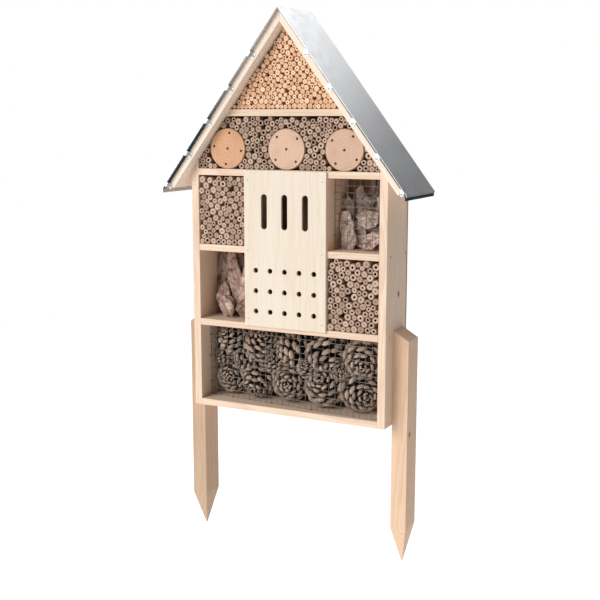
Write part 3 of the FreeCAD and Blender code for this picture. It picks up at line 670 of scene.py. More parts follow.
@dataclass(frozen=True)
class LogWood:
    """A round of spruce sapwood, sawn across: peach end grain with fine rings, thin bark round its side."""

    name: str
    early: str
    late: str
    ring: float = 5.2
    saw_marks: float = 196.25

    def made(self, centre: Vector, radius: float) -> bpy.types.Material:
        """Build the finish round the log's own axis.

        Args:
            centre: A point on the log's axis.
            radius: The log's radius in metres.

        Returns:
            The material.
        """
        material, add, point = new_material(self.name)
        heart = centre + Vector((0.006, 0, 0.004))
        own = add(VECTOR_MATH, {0: point, 1: heart}, operation="SUBTRACT")[0]
        flat = add("ShaderNodeMapping", {"Vector": own, "Scale": (1, 0.05, 1)})[0]
        wander = add(NOISE, {"Vector": flat, "Scale": 45.0, "Detail": 2.0})["Color"]
        bent = add(VECTOR_MATH, {0: wander, 1: (0.016, 0.0, 0.016), 2: flat}, operation="MULTIPLY_ADD")[0]
        rings = add(WAVE, {"Vector": bent, "Scale": WAVE_STEP / (self.ring * MM), "Distortion": 0.4},
                    wave_type="RINGS", rings_direction="Y", wave_profile="SAW")["Fac"]
        patch = add(NOISE, {"Vector": own, "Scale": 26.0, "Detail": 3.0})["Fac"]
        share = add(MATH, {0: rings, 1: 0.55}, operation="MULTIPLY")[0]
        colour = add(MIX, {FACTOR: share, A: linear(self.early), B: linear(self.late)})[RESULT]
        colour = covered(add, colour, linear(self.late, 0.85), patch, (0.5, 0.75), (0.0, 0.5))
        # Saw marks slanting across the end, about 2.3 mm apart.
        saw = add(WAVE, {"Vector": own, "Scale": self.saw_marks, "Distortion": 2.0},
                  wave_type="BANDS", bands_direction="DIAGONAL")["Fac"]
        # Inner bark shows as a thin darker line at the edge and covers the side.
        across = add(VECTOR_MATH, {0: point, 1: centre}, operation="SUBTRACT")[0]
        across = add(VECTOR_MATH, {0: across, 1: (1, 0, 1)}, operation="MULTIPLY")[0]
        away = add(VECTOR_MATH, {0: across}, operation="LENGTH")["Value"]
        ragged = add(NOISE, {"Vector": own, "Scale": 150.0, "Detail": 3.0})["Fac"]
        away = add(MATH, {0: ragged, 1: 0.002, 2: away}, operation="MULTIPLY_ADD")[0]
        edge = add(MAP_RANGE, {"Value": away, 1: radius - 0.0012, 2: radius + 0.0002, 3: 0.0, 4: 1.0})[0]
        bark = add(MIX, {FACTOR: ragged, A: linear("#7A5A42"), B: linear("#B08A66")})[RESULT]
        colour = add(MIX, {FACTOR: edge, A: colour, B: bark})[RESULT]
        height = add(MATH, {0: rings, 1: 0.5, 2: saw}, operation="MULTIPLY_ADD")[0]
        surface(add, {"Base Color": colour, "Roughness": 0.75, "Specular IOR Level": 0.25}, height,
            0.2 * MM, 0.5)
        return material


@dataclass(frozen=True)
class PineBark:
    """Pine bark chips, broken and dried: pinkish grey plates, paler flakes and dark cracks.

    Reads two values that the chips carry: "tone", each chip's brightness, random and lower for chips further
    back as painted shade, and "hollow", from high to furrowed.
    """

    name: str
    plate: str
    pale: str
    crack: str

    def made(self) -> bpy.types.Material:
        """Build the finish."""
        material, add, point = new_material(self.name)
        patch = add(NOISE, {"Vector": point, "Scale": 42.0, "Detail": 5.0, "Roughness": 0.6,
            "Distortion": 0.8})["Fac"]
        flake = add(VORONOI, {"Vector": point, "Scale": 110.0}, feature="DISTANCE_TO_EDGE")["Distance"]
        grit = add(NOISE, {"Vector": point, "Scale": 420.0, "Detail": 4.0})["Fac"]
        colour = add(RAMP, {"Fac": patch}, stops=[
            (0.32, linear(self.crack)), (0.46, linear(self.plate, 0.75)), (0.56, linear(self.plate)),
            (0.72, linear(self.pale))])[0]
        colour = covered(add, colour, linear(self.crack), flake, (0.0, 0.09), (0.55, 0.0))
        hollow = add(ATTRIBUTE, attribute_name="hollow")["Fac"]
        colour = add(MIX, {FACTOR: hollow, A: colour, B: linear(self.crack, 0.8)})[RESULT]
        colour = dulled(add, colour, grit, (0.35, 0.65), (0.72, 0.70, 0.68), 0.8)
        # The chip's tone holds its random brightness and the painted shade of chips further back.
        tone = add(ATTRIBUTE, attribute_name="tone")["Fac"]
        colour = add(VECTOR_MATH, {0: colour, "Scale": tone}, operation="SCALE")[0]
        height = add(MATH, {0: patch, 1: 1.5, 2: grit}, operation="MULTIPLY_ADD")[0]
        surface(add, {"Base Color": colour, "Roughness": 0.9, "Specular IOR Level": 0.2},
            height, 0.8 * MM, 0.7)
        return material


@dataclass(frozen=True)
class ConeScaleWood:
    """Pine cone scales, dry and open: dark brown within, with greyed, paler swollen ends.

    Reads two values that the scales carry: "along", from the stalk to the end, and "shade", each one's tone.
    """

    name: str
    inner: str
    body: str
    tip: str

    def made(self) -> bpy.types.Material:
        """Build the finish."""
        material, add, point = new_material(self.name)
        along = add(ATTRIBUTE, attribute_name="along")["Fac"]
        shade = add(ATTRIBUTE, attribute_name="shade")["Fac"]
        streak = add(NOISE, {"Vector": point, "Scale": 520.0, "Detail": 3.0})["Fac"]
        colour = add(RAMP, {"Fac": along}, stops=[
            (0.0, linear(self.inner)), (0.6, linear(self.body, 0.6)), (0.82, linear(self.body)),
            (0.94, linear(self.tip)), (1.0, linear(self.tip, 0.9))])[0]
        darker = add(MIX, {FACTOR: 0.5, A: colour, B: linear(self.inner)})[RESULT]
        colour = add(MIX, {FACTOR: shade, A: colour, B: darker})[RESULT]
        colour = dulled(add, colour, streak, (0.35, 0.65), (0.68, 0.66, 0.64), 0.8)
        surface(add, {"Base Color": colour, "Roughness": 0.7, "Specular IOR Level": 0.3},
            streak, 0.4 * MM, 0.6)
        return material


# ------------------------------------------------------------------ studio
@dataclass
class Studio:
    """A plain white floor and surround, soft light from the front left, and the camera."""

    camera_place: tuple[float, float, float] = (0.87393, -1.7211, 0.81669)
    camera_turn: float = 26.663
    camera_fall: float = 9.791
    lens: float = 62.4165
    floor_radius: float = 2.5
    floor_glow: float = 0.95
    key_from: tuple[float, float, float] = (-0.45, -1.2, 0.75)
    key_strength: float = 1.5
    key_width: float = 35.0
    surround_strength: float = 0.2
    # name, place, the point it faces, size in metres and power in watts
    lamps: Sequence[tuple] = (
        ("roof_light", (0.3, 2.75, 3.05), (0.1, 0, 0.9), 1.7, 19.0),
        ("front_light", (-1.55, -3.1, 1.3), (0, 0, 0.6), 2.4, 45.0),
        ("back_light", (-2.4, 2.6, 1.6), (0, 0, 0.5), 1.6, 14.0),
    )

    def build(self) -> None:
        """Make the floor, the lights, the surround and the camera."""
        self.floor()
        self.surround()
        self.key_light()
        for name, place, target, size, power in self.lamps:
            self.lamp(name, Vector(place), Vector(target), size, power)
        self.camera()
        bpy.context.scene.view_settings.view_transform = "Standard"

    def floor(self) -> None:
        """Make the floor: white, lit a little from below so that shadows on it stay faint."""
        bpy.ops.mesh.primitive_circle_add(vertices=64, radius=self.floor_radius, fill_type="NGON")
        floor = bpy.context.object
        floor.name = "studio_floor"
        material, add, point = new_material("white_lacquered_board")
        cloud = add(NOISE, {"Vector": point, "Scale": 3.0, "Detail": 2.0})["Fac"]
        colour = add(MIX, {FACTOR: cloud, A: linear("#929292"), B: linear("#989898")})[RESULT]
        surface(add, {"Base Color": colour, "Roughness": 0.3, "Specular IOR Level": 0.1,
                       "Emission Color": (1, 1, 1, 1), "Emission Strength": self.floor_glow})
        floor.data.materials.append(material)

    def surround(self) -> None:
        """Light the scene evenly, and show plain white behind the object."""
        world = bpy.data.worlds.new("white_surround")
        bpy.context.scene.world = world
        world.use_nodes = True
        world.node_tree.nodes.clear()
        add = partial(add_node, world.node_tree)
        seen = add("ShaderNodeLightPath")["Is Camera Ray"]
        shown = add("ShaderNodeBackground", {"Color": (1, 1, 1, 1), "Strength": 1.0})
        given = add("ShaderNodeBackground", {"Color": (1, 1, 1, 1), "Strength": self.surround_strength})
        both = add("ShaderNodeMixShader", {0: seen, 1: given[0], 2: shown[0]})
        add("ShaderNodeOutputWorld", {"Surface": both[0]})

    def key_light(self) -> None:
        """Hang the main light: broad and distant, from the front left and above."""
        light = bpy.data.lights.new("key_light", "SUN")
        light.energy, light.angle = self.key_strength, math.radians(self.key_width)
        hung = bpy.data.objects.new("key_light", light)
        hung.rotation_euler = (-Vector(self.key_from)).to_track_quat("-Z", "Y").to_euler()
        bpy.context.scene.collection.objects.link(hung)

    def lamp(self, name: str, place: Vector, target: Vector, size: float, power: float) -> None:
        """Hang one soft square light that faces a point."""
        light = bpy.data.lights.new(name, "AREA")
        light.shape, light.size, light.energy = "SQUARE", size, power
        hung = bpy.data.objects.new(name, light)
        hung.location = place
        hung.rotation_euler = (target - place).to_track_quat("-Z", "Y").to_euler()
        hung.visible_camera = False
        bpy.context.scene.collection.objects.link(hung)

    def camera(self) -> None:
        """Set up the camera, to the right of the front and a little above the middle."""
        data = bpy.data.cameras.new("camera")
        data.lens, data.sensor_width = self.lens, 36.0
        data.clip_start, data.clip_end = 0.05, 100.0
        camera = bpy.data.objects.new("camera", data)
        turn, fall = math.radians(self.camera_turn), math.radians(self.camera_fall)
        ahead = Vector((-math.sin(turn) * math.cos(fall), math.cos(turn) * math.cos(fall), -math.sin(fall)))
        camera.location = self.camera_place
        camera.rotation_euler = ahead.to_track_quat("-Z", "Y").to_euler()
        bpy.context.scene.collection.objects.link(camera)
        bpy.context.scene.camera = camera


# ------------------------------------------------------------------ wooden case
@dataclass
class Timberwork:
    """The boards of the case, the box behind the panel, the panels, the roof boards and the stakes."""

    upright: Sequence[str] = ("side_wall_left", "side_wall_right", "box_side_left", "box_side_right")
    level: Sequence[str] = ("floor_board", "shelf_lower", "shelf_middle_left", "shelf_middle_right",
        "shelf_eave",
                            "shelf_gable", "box_divider")
    knots: dict[str, list[Knot]] = field(default_factory=lambda: {
        "side_wall_right": [Knot((200, 18.2, 507.3), (20, 4.0, 5.0)),
            Knot((200, -12, 705), (20, 2.2, 2.8))],
        "side_wall_left": [Knot((-200, 30, 610), (20, 4.5, 5.5)), Knot((-200, -8, 360), (20, 2.5, 3.0))],
        "roof_board_right": [Knot((120, 20, 850), (5, 4.5, 6))],
        "stake_right": [Knot((230, 8, 250), (12, 3.2, 5.0))],
        "stake_left": [Knot((-230, 30, 180), (12, 3.5, 5.0))],
    })
    tones: dict[str, float] = field(default_factory=lambda: {"stake_left": 0.72, "stake_right": 0.95})

    def dress(self) -> None:
        """Give every board its finish, each cut from another part of the trunk."""
        boards = [(name, SPRUCE, Grain.UPRIGHT) for name in self.upright]
        boards += [(name, SPRUCE, Grain.LEVEL) for name in self.level]
        # The roof boards get the paler spruce: painted light.
        boards += [("roof_board_left", PAINTED_LIGHT_ROOF_SPRUCE, Grain.LEFT_SLOPE),
            ("roof_board_right", PAINTED_LIGHT_ROOF_SPRUCE, Grain.RIGHT_SLOPE),
                   ("stake_left", PINE, Grain.UPRIGHT), ("stake_right", PINE, Grain.UPRIGHT),
                   ("front_panel", POPLAR, Grain.UPRIGHT)]
        for number, (name, timber, grain) in enumerate(boards):
            dress(name, timber.made(name, grain, 100 + number, self.knots.get(name, ()),
                self.tones.get(name, 1.0)))
            log.info("%s: %s", name, timber.name)
        # The dark back panel is partly painted shade, darkening what shows through the slots and gaps.
        dress("back_panel", Hardboard().made())
        log.info("back_panel: hardboard")


@dataclass
class RoofCover:
    """The folded metal sheet and the felt beneath it."""

    def dress(self) -> None:
        """Give the sheet and the felt their finishes."""
        dress("roof_sheet", GalvanisedSheet().made())
        dress("roof_felt", BitumenFelt().made())
        log.info("roof_sheet and roof_felt")


# ------------------------------------------------------------------ fixings
@dataclass
class Fixings:
    """Nails, pins and screws with domed or sunk heads, and the staples of the meshes."""

    nailed: Sequence[str] = ("case_nails", "roof_nails", "panel_pins", "back_pins", "stake_screws")
    sides: int = 12
    # shares of the head's radius: how far its rim lies below its top, and how deep a screw's recess is
    dome: float = 0.28
    recess: float = 0.35

    def heads_tree(self) -> bpy.types.NodeTree:
        """Build the tree that sets one fixing at every point, its head towards the point's aim."""
        tree, add, given = geometry_tree("fixings", {
            "Fixing": ("Object", None), "Finish": ("Material", None)})
        shape = add("GeometryNodeObjectInfo", {"Object": given["Fixing"]})["Geometry"]
        aim = add(NAMED, {"Name": "aim"}, data_type="FLOAT_VECTOR")[0]
        turn = add("FunctionNodeAlignRotationToVector", {"Vector": aim}, axis="Z")[0]
        many = add(INSTANCE, {"Points": given["Geometry"], "Instance": shape, "Rotation": turn})[0]
        close_tree(add, many, given["Finish"])
        return tree

    def measured(self, node: str) -> tuple[list[Vector], list[Vector], float, float, float]:
        """Measure a node's fixings.

        Args:
            node: A CAD node of equal nails, pins or screws along one axis each.

        Returns:
            The head centres, the outward aims, the head radius, the shank radius and the length.
        """
        places, aims = [], []
        head_radius = shank_radius = length = 0.0
        for points, _ in solids_of(node):
            low, high = points.min(0), points.max(0)
            axis = int(np.argmax(high - low))
            others = [k for k in range(3) if k != axis]
            middle = (low + high) / 2
            reach = np.linalg.norm(points[:, others] - middle[others], axis=1)
            near_low = reach[points[:, axis] < low[axis] + 0.0003].max()
            near_high = reach[points[:, axis] > high[axis] - 0.0003].max()
            sign = 1.0 if near_high > near_low else -1.0
            place = middle.copy()
            place[axis] = high[axis] if sign > 0 else low[axis]
            aim = np.zeros(3)
            aim[axis] = sign
            places.append(Vector(place))
            aims.append(Vector(aim))
            head_radius, shank_radius = max(near_low, near_high), min(near_low, near_high)
            length = float(high[axis] - low[axis])
        return places, aims, float(head_radius), max(float(shank_radius), 0.0006), length

    def build(self) -> None:
        """Make every fixing and tie it to the frame."""
        tree = self.heads_tree()
        finish = BrightMetal("zinc_plated_steel", "#B4B3AE", 0.35).made()
        for node in self.nailed:
            places, aims, head, shank, length = self.measured(node)
            dome, recess = head * self.dome, head * self.recess
            profile = [(0.0, -recess), (head * 0.3, -recess * 0.6)] if node == "stake_screws" else [(0.0,
                0.0)]
            profile += [(head * 0.55, -dome * 0.12), (head * 0.9, -dome * 0.55), (head, -dome),
                        (head * 0.96, -dome * 1.6), (shank, -dome * 2.0), (shank, -length + shank * 3),
                        (0.0, -length)]
            maker = new_object("fixing_shape", lathe("fixing_shape", profile, self.sides))
            base = points_mesh(node + "_points", places, {"aim": aims})
            piece = grown(node + "_finished", base, tree, {"Fixing": maker, "Finish": finish}, 50.0)
            bpy.data.objects.remove(maker)
            seat(piece, "bright_steel", node)
        for node in ("mesh_staples", "roof_board_nails"):
            dress(node, finish)


# ------------------------------------------------------------------ canes and reeds
@dataclass
class StemBundle:
    """A stack of cut stems in one chamber, each with its own width, bore, length and tone."""

    node: str
    slot: str
    finish: StemFinish
    seed: int
    plugged: float = 0.45
    light_share: float = 0.1
    sides: int = 14
    painted_shade_to_edges: float = 0.0
    # millimetres: how deep plugged and open bores are, and how far the front ends stand back
    plugged_depths: tuple[float, float] = (0.3, 1.2)
    open_depths: tuple[float, float] = (22, 40)
    end_steps: tuple[float, float] = (-0.2, 0.4)
    swell: float = 0.08
    back_gap: float = 0.5

    def tree(self) -> bpy.types.NodeTree:
        """Build the tree that turns each point into a hollow stem lying along Y."""
        tree, add, given = geometry_tree("hollow_stems", {
            "Sides": ("Int", 14), "End bevel": ("Float", 0.00035),
            "Skin": ("Material", None), "End": ("Material", None),
            "Bore": ("Material", None)})
        stations = 8
        columns = add(MATH, {0: given["Sides"], 1: 1.0}, operation="ADD")[0]
        grid = add("GeometryNodeMeshGrid", {
            "Size X": 1.0, "Size Y": 1.0, "Vertices X": columns, "Vertices Y": stations})["Mesh"]
        spot = add("GeometryNodeInputPosition")[0]
        parts = add("ShaderNodeSeparateXYZ", {0: spot})
        turn = add(MATH, {0: parts["X"], 1: 2 * math.pi, 2: math.pi}, operation="MULTIPLY_ADD")[0]
        station = add(MATH, {0: parts["Y"], 1: stations - 1.0, 2: (stations - 1) / 2},
            operation="MULTIPLY_ADD")[0]
        flow = grid
        for title, value in (("turn", turn), ("station", station)):
            flow = add(STORE, {"Geometry": flow, "Name": title, "Value": value})[0]
        many = add(INSTANCE, {"Points": given["Geometry"], "Instance": flow, "Scale": (0.0, 0.0, 0.0)})[0]
        flow = add(REALIZE, {0: many})[0]
        fact = {title: add(NAMED, {"Name": title})[0]
                for title in ("turn", "station", "radius", "bore", "depth", "length", "skew")}
        bevel = given["End bevel"]
        step = add("FunctionNodeFloatToInt", {0: fact["station"]}, rounding_mode="ROUND")[0]
        inner = add(MATH, {0: fact["radius"], 1: bevel}, operation="SUBTRACT")[0]
        mouth = add(MATH, {0: bevel, 1: 0.6, 2: fact["bore"]}, operation="MULTIPLY_ADD")[0]
        deep = add(MATH, {0: fact["bore"], 1: 0.9}, operation="MULTIPLY")[0]
        # The stations run from the middle of the back along the skin, over the front and into the bore.
        radii = [0.0, fact["radius"], fact["radius"], inner, mouth, fact["bore"], deep, 0.0]
        depths = [fact["length"], fact["length"], bevel, 0.0, 0.0, bevel, fact["depth"], fact["depth"]]
        reach, back = (add("GeometryNodeIndexSwitch", {"Index": step, **dict(enumerate(values, 1))},
                           data_type="FLOAT", items=stations)[0] for values in (radii, depths))
        # Stems are a little oval.
        double = add(MATH, {0: fact["turn"], 1: 2.0, 2: fact["skew"]}, operation="MULTIPLY_ADD")[0]
        oval = add(MATH, {0: double}, operation="COSINE")[0]
        oval = add(MATH, {0: oval, 1: 0.035, 2: 0.99}, operation="MULTIPLY_ADD")[0]
        reach = add(MATH, {0: reach, 1: oval}, operation="MULTIPLY")[0]
        cosine = add(MATH, {0: fact["turn"]}, operation="COSINE")[0]
        sine = add(MATH, {0: fact["turn"]}, operation="SINE")[0]
        x = add(MATH, {0: reach, 1: cosine}, operation="MULTIPLY")[0]
        z = add(MATH, {0: reach, 1: sine}, operation="MULTIPLY")[0]
        offset = add(COMBINE, {0: x, 1: back, 2: z})[0]
        flow = add(SET_POSITION, {"Geometry": flow, "Offset": offset})[0]
        rim = add(MATH, {0: fact["station"], 1: 3.0, 2: 0.6}, operation="COMPARE")[0]
        outer = add(MATH, {0: fact["station"], 1: 2.5}, operation="LESS_THAN")[0]
        rim = add(MATH, {0: rim, 1: outer}, operation="MAXIMUM")[0]
        flow = add(STORE, {"Geometry": flow, "Name": "rim", "Value": rim})[0]
        flow = add(REALIZE, {0: flow})[0]
        # Each finish starts past its station and covers the one before.
        for limit, title in ((-1.0, "Skin"), (2.0, "End"), (5.0, "Bore")):
            past = add("FunctionNodeCompare", {0: fact["station"], 1: limit},
                       data_type="FLOAT", operation="GREATER_THAN")[0]
            flow = add(SET_MATERIAL, {"Geometry": flow, "Selection": past, "Material": given[title]})[0]
        add("NodeGroupOutput", {"Geometry": flow})
        return tree

    def build(self, tree: bpy.types.NodeTree, materials: dict[str, bpy.types.Material]) -> None:
        """Measure the CAD stems and grow the finished ones in their places.

        Args:
            tree: The stem tree.
            materials: The skin, end and bore finishes, by input name.
        """
        chance = random.Random(self.seed)
        places: list[tuple[float, float, float]] = []
        facts: dict[str, list[float]] = {title: [] for title in (
            "radius", "bore", "depth", "length", "skew", "shade", "plug")}
        low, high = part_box(self.node)
        half = (high.x - low.x) / 2
        for points, _ in solids_of(self.node):
            least, most = points.min(0), points.max(0)
            centre = (least + most) / 2
            radius = (most[0] - least[0]) / 2
            reach = np.linalg.norm(points[:, [0, 2]] - centre[[0, 2]], axis=1)
            plug = chance.random() < self.plugged
            bore = float(reach.min()) * chance.uniform(0.8, 1.05) * (0.8 if plug else 1.0)
            places.append((centre[0], least[1] + chance.uniform(*self.end_steps) * MM, centre[2]))
            shade = chance.random() if chance.random() > self.light_share else -0.5
            # Painted shade: stems further from the bundle's middle get darker, for the chamber's shaded
            # corners.
            outward_share = abs(centre[0] - (low.x + high.x) / 2) / half
            shade += self.painted_shade_to_edges * outward_share
            facts["radius"].append(radius + self.swell * MM)
            facts["bore"].append(bore)
            facts["depth"].append(chance.uniform(*(self.plugged_depths if plug else self.open_depths)) * MM)
            facts["length"].append(most[1] - least[1] - self.back_gap * MM)
            facts["skew"].append(chance.uniform(0, 6.28))
            facts["shade"].append(shade)
            facts["plug"].append(1.0 if plug else 0.0)
        base = points_mesh(self.node + "_points", places, facts)
        piece = grown(self.node + "_finished", base, tree, {"Sides": self.sides, **materials}, 35.0)
        seat(piece, self.slot, self.node)


# ------------------------------------------------------------------ logs
@dataclass
class NestingLogs:
    """Three rounds of spruce with drilled nesting holes."""

    finishes: dict[str, LogWood] = field(default_factory=lambda: {
        "log_left": LogWood("spruce_round_left", "#D8AC89", "#BA815C"),
        "log_middle": LogWood("spruce_round_middle", "#DEBEA6", "#C1957C"),
        "log_right": LogWood("spruce_round_right", "#D4B59F", "#B88E74"),
    })

    def dress(self) -> None:
        """Give each log its own end grain."""
        for node, finish in self.finishes.items():
            low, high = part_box(node)
            dress(node, finish.made((low + high) / 2, (high.x - low.x) / 2))
            log.info("%s: %s", node, finish.name)


# ------------------------------------------------------------------ wire meshes
@dataclass
class WireMesh:
    """A welded square mesh of round wire, a little bent by hand, with its sizes in millimetres."""

    node: str
    askew: bool = False
    pitch: float = 12.7
    wire: float = 1.0
    wobble: float = 2.2
    seed: int = 3

    def tree(self) -> bpy.types.NodeTree:
        """Build the tree that lays two families of wires across each other."""
        tree, add, given = geometry_tree("welded_mesh", {
            "Low corner": ("Vector", None), "Width": ("Float", 0.1),
            "Height": ("Float", 0.1), "Back step": ("Float", 0.0), "Across": ("Int", 9),
            "Up": ("Int", 9), "Wire": ("Float", 0.001), "Wobble": ("Float", 0.001),
            "Seed": ("Float", 1.0), "Finish": ("Material", None)})
        strands = []
        for count, span, reach, side in (("Across", "Width", "Height", 1.0),
            ("Up", "Height", "Width", -1.0)):
            upright = count == "Across"
            gaps = add(MATH, {0: given[count], 1: 1.0}, operation="SUBTRACT")[0]
            gap = add(MATH, {0: given[span], 1: gaps}, operation="DIVIDE")[0]
            step = add(COMBINE, {0 if upright else 2: gap})[0]
            row = add("GeometryNodeMeshLine", {"Count": given[count], "Offset": step}, mode="OFFSET")[0]
            far = add(COMBINE, {2 if upright else 0: given[reach]})[0]
            strand = add("GeometryNodeCurvePrimitiveLine", {"End": far})[0]
            bends = add(MATH, {0: given[reach], 1: self.pitch * MM / 2}, operation="DIVIDE")[0]
            strand = add("GeometryNodeResampleCurve", {"Curve": strand, "Count": bends})[0]
            many = add(INSTANCE, {"Points": row, "Instance": strand})[0]
            laid = add(REALIZE, {0: many})[0]
            lift = add(MATH, {0: given["Wire"], 1: -0.42 * side}, operation="MULTIPLY")[0]
            lifted = add(COMBINE, {1: lift})[0]
            strands.append(add(SET_POSITION, {"Geometry": laid, "Offset": lifted})[0])
        joined = add(JOIN, {0: strands})[0]
        spot = add("GeometryNodeInputPosition")[0]
        x = add("ShaderNodeSeparateXYZ", {0: spot})["X"]
        share = add(MATH, {0: x, 1: given["Width"]}, operation="DIVIDE")[0]
        back = add(MATH, {0: share, 1: given["Back step"]}, operation="MULTIPLY")[0]
        wave = add(NOISE, {"Vector": spot, "W": given["Seed"], "Scale": 22.0, "Detail": 1.0},
                   noise_dimensions="4D")["Color"]
        centred = add(VECTOR_MATH, {0: wave, 1: (0.5, 0.5, 0.5)}, operation="SUBTRACT")[0]
        bent = add(VECTOR_MATH, {0: centred, "Scale": given["Wobble"]}, operation="SCALE")[0]
        slant = add(COMBINE, {1: back})[0]
        offset = add(VECTOR_MATH, {0: bent, 1: slant}, operation="ADD")[0]
        offset = add(VECTOR_MATH, {0: offset, 1: given["Low corner"]}, operation="ADD")[0]
        placed = add(SET_POSITION, {"Geometry": joined, "Offset": offset})[0]
        half = add(MATH, {0: given["Wire"], 1: 0.5}, operation="MULTIPLY")[0]
        ring = add("GeometryNodeCurvePrimitiveCircle", {"Resolution": 6, "Radius": half})[0]
        solid = add("GeometryNodeCurveToMesh", {"Curve": placed, "Profile Curve": ring,
            "Fill Caps": True})[0]
        close_tree(add, solid, given["Finish"])
        return tree

    def build(self, tree: bpy.types.NodeTree, finish: bpy.types.Material) -> None:
        """Grow the mesh over its CAD grille.

        Args:
            tree: The mesh tree.
            finish: The wire's finish.
        """
        low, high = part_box(self.node)
        edge = self.wire * MM / 2
        width, height = high.x - low.x - 2 * edge, high.z - low.z - 2 * edge
        front, back = low.y + edge, high.y - edge
        start = back if self.askew else (front + back) / 2
        base = points_mesh(self.node + "_base", [(0, 0, 0)], {})
        piece = grown(self.node + "_finished", base, tree, {
            "Low corner": (low.x + edge, start, low.z + edge), "Width": width, "Height": height,
            "Back step": front - back if self.askew else 0.0,
            "Across": round(width / (self.pitch * MM)) + 1, "Up": round(height / (self.pitch * MM)) + 1,
            "Wire": self.wire * MM, "Wobble": self.wobble * MM,
            "Seed": float(self.seed), "Finish": finish}, 60.0)
        seat(piece, "galvanised_wire", self.node)


# ------------------------------------------------------------------ bark
@dataclass
class BarkPile:
    """Broken bark chips in one chamber: the CAD plates, each remeshed and roughened in its own way.

    The sizes of a chip's grain, flakes, furrows and crust are in millimetres.
    """

    node: str
    finish: PineBark
    seed: int
    grain: float = 1.5
    relief: float = 1.0
    widened: float = 1.2
    crease: float = 38.0
    painted_shade_behind: float = 0.018
    flake: tuple[float, float] = (9, 22)
    furrow: tuple[float, float] = (7, 34)
    crust: float = 2.6

    def build(self) -> None:
        """Roughen the chips, join them and tie them to the frame."""
        chance = random.Random(self.seed)
        low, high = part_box(self.node)
        points: list[np.ndarray] = []
        faces: list[list[int]] = []
        facts: dict[str, list[float]] = {"hollow": [], "tone": []}
        for corners, sides in solids_of(self.node):
            centre = corners.mean(0)
            axes = np.linalg.svd(corners - centre, full_matrices=False)[2]
            chip = self.even(self.broken(corners, sides, axes, chance))
            hollows = self.roughen(chip, centre, axes, chance)
            # Painted shade: chips further back get darker tones, for the shade deep in the chamber.
            front = centre[1] < self.painted_shade_behind
            tone = chance.uniform(0.8, 1.3) if front else chance.uniform(0.45, 0.95)
            start = sum(len(block) for block in points)
            points.append(np.clip([vertex.co for vertex in chip.vertices], tuple(low), tuple(high)))
            faces += [[start + corner for corner in face.vertices] for face in chip.polygons]
            facts["hollow"] += hollows
            facts["tone"] += [tone] * len(hollows)
            bpy.data.meshes.remove(chip)
        pile = bpy.data.meshes.new(self.node + "_finished")
        pile.from_pydata(np.concatenate(points).tolist(), [], faces)
        for title, values in facts.items():
            pile.attributes.new(title, "FLOAT", "POINT").data.foreach_set("value",
                np.array(values, np.float32))
        pile.materials.append(self.finish.made())
        outward(pile, self.crease)
        seat(new_object(self.node + "_finished", pile), "bark", self.node)

    def broken(self, corners: np.ndarray, sides: list[list[int]], axes: np.ndarray,
               chance: random.Random) -> bpy.types.Mesh:
        """Widen a plate a little and break pieces off its rim along straight lines.

        Args:
            corners: The plate's corner points.
            sides: The plate's faces.
            axes: The plate's long, wide and thin directions.
            chance: The pile's random numbers.

        Returns:
            The angular plate.
        """
        centre = corners.mean(0)
        reach = np.abs((corners - centre) @ axes.T).max(0)
        stretch = np.array([self.widened, self.widened, 1.0])
        wide = centre + ((corners - centre) @ axes.T * stretch) @ axes
        plate = bpy.data.meshes.new(self.node + "_plate")
        plate.from_pydata(wide.tolist(), [], sides)
        shape = bmesh.new()
        shape.from_mesh(plate)
        for turn in (chance.uniform(20, 70), chance.uniform(110, 160), chance.uniform(200, 340)):
            way = math.cos(math.radians(turn)) * axes[0] + math.sin(math.radians(turn)) * axes[1]
            far = math.hypot(reach[0] * math.cos(math.radians(turn)),
                reach[1] * math.sin(math.radians(turn)))
            place = centre + way * far * chance.uniform(0.78, 1.0)
            cut = bmesh.ops.bisect_plane(shape, geom=[*shape.verts, *shape.edges, *shape.faces],
                                         plane_co=place, plane_no=way, clear_outer=True)["geom_cut"]
            rim = [part for part in cut if isinstance(part, bmesh.types.BMEdge)]
            if rim:
                bmesh.ops.holes_fill(shape, edges=rim)
        shape.to_mesh(plate)
        shape.free()
        return plate

    def even(self, plate: bpy.types.Mesh) -> bpy.types.Mesh:
        """Turn a plate into a mesh of small, even faces."""
        host = new_object(self.node + "_plate", plate)
        voxels = host.modifiers.new("Even grain", "REMESH")
        voxels.mode, voxels.voxel_size = "VOXEL", self.grain * MM
        graph = bpy.context.evaluated_depsgraph_get()
        chip = bpy.data.meshes.new_from_object(host.evaluated_get(graph))
        bpy.data.objects.remove(host)
        return chip

    def roughen(self, chip: bpy.types.Mesh, centre: np.ndarray, axes: np.ndarray,
                chance: random.Random) -> list[float]:
        """Push a chip's surface in and out: flaky steps and furrows along it, and a fine crust.

        Args:
            chip: The chip's even mesh.
            centre: The chip's middle.
            axes: The chip's long, wide and thin directions.
            chance: The pile's random numbers.

        Returns:
            How hollow the surface is at each point, from 0 to 1.
        """
        move = Vector((chance.uniform(0, 50), chance.uniform(0, 50), chance.uniform(0, 50)))
        hollows = []
        for vertex, normal in zip(chip.vertices, [Vector(n.vector) for n in chip.vertex_normals]):
            along, across, through = axes @ (np.array(vertex.co) - centre) / MM
            wide, long = self.flake
            plates = noise.noise(Vector((across / wide, through / wide, along / long)) + move)
            wide, long = self.furrow
            furrow = abs(noise.noise(Vector((across / wide, through / wide, along / long)) + move * 2))
            crust = noise.noise(Vector((across, through, along)) / self.crust + move)
            step = math.floor(plates * 4) / 4
            sink = -max(0.0, 0.12 - furrow) * 9.0
            vertex.co += normal * ((0.9 * step + 0.3 * crust + 0.35 * sink) * self.relief - 0.25) * MM
            hollows.append(min(1.0, max(0.0, -sink * 0.8)))
        return hollows


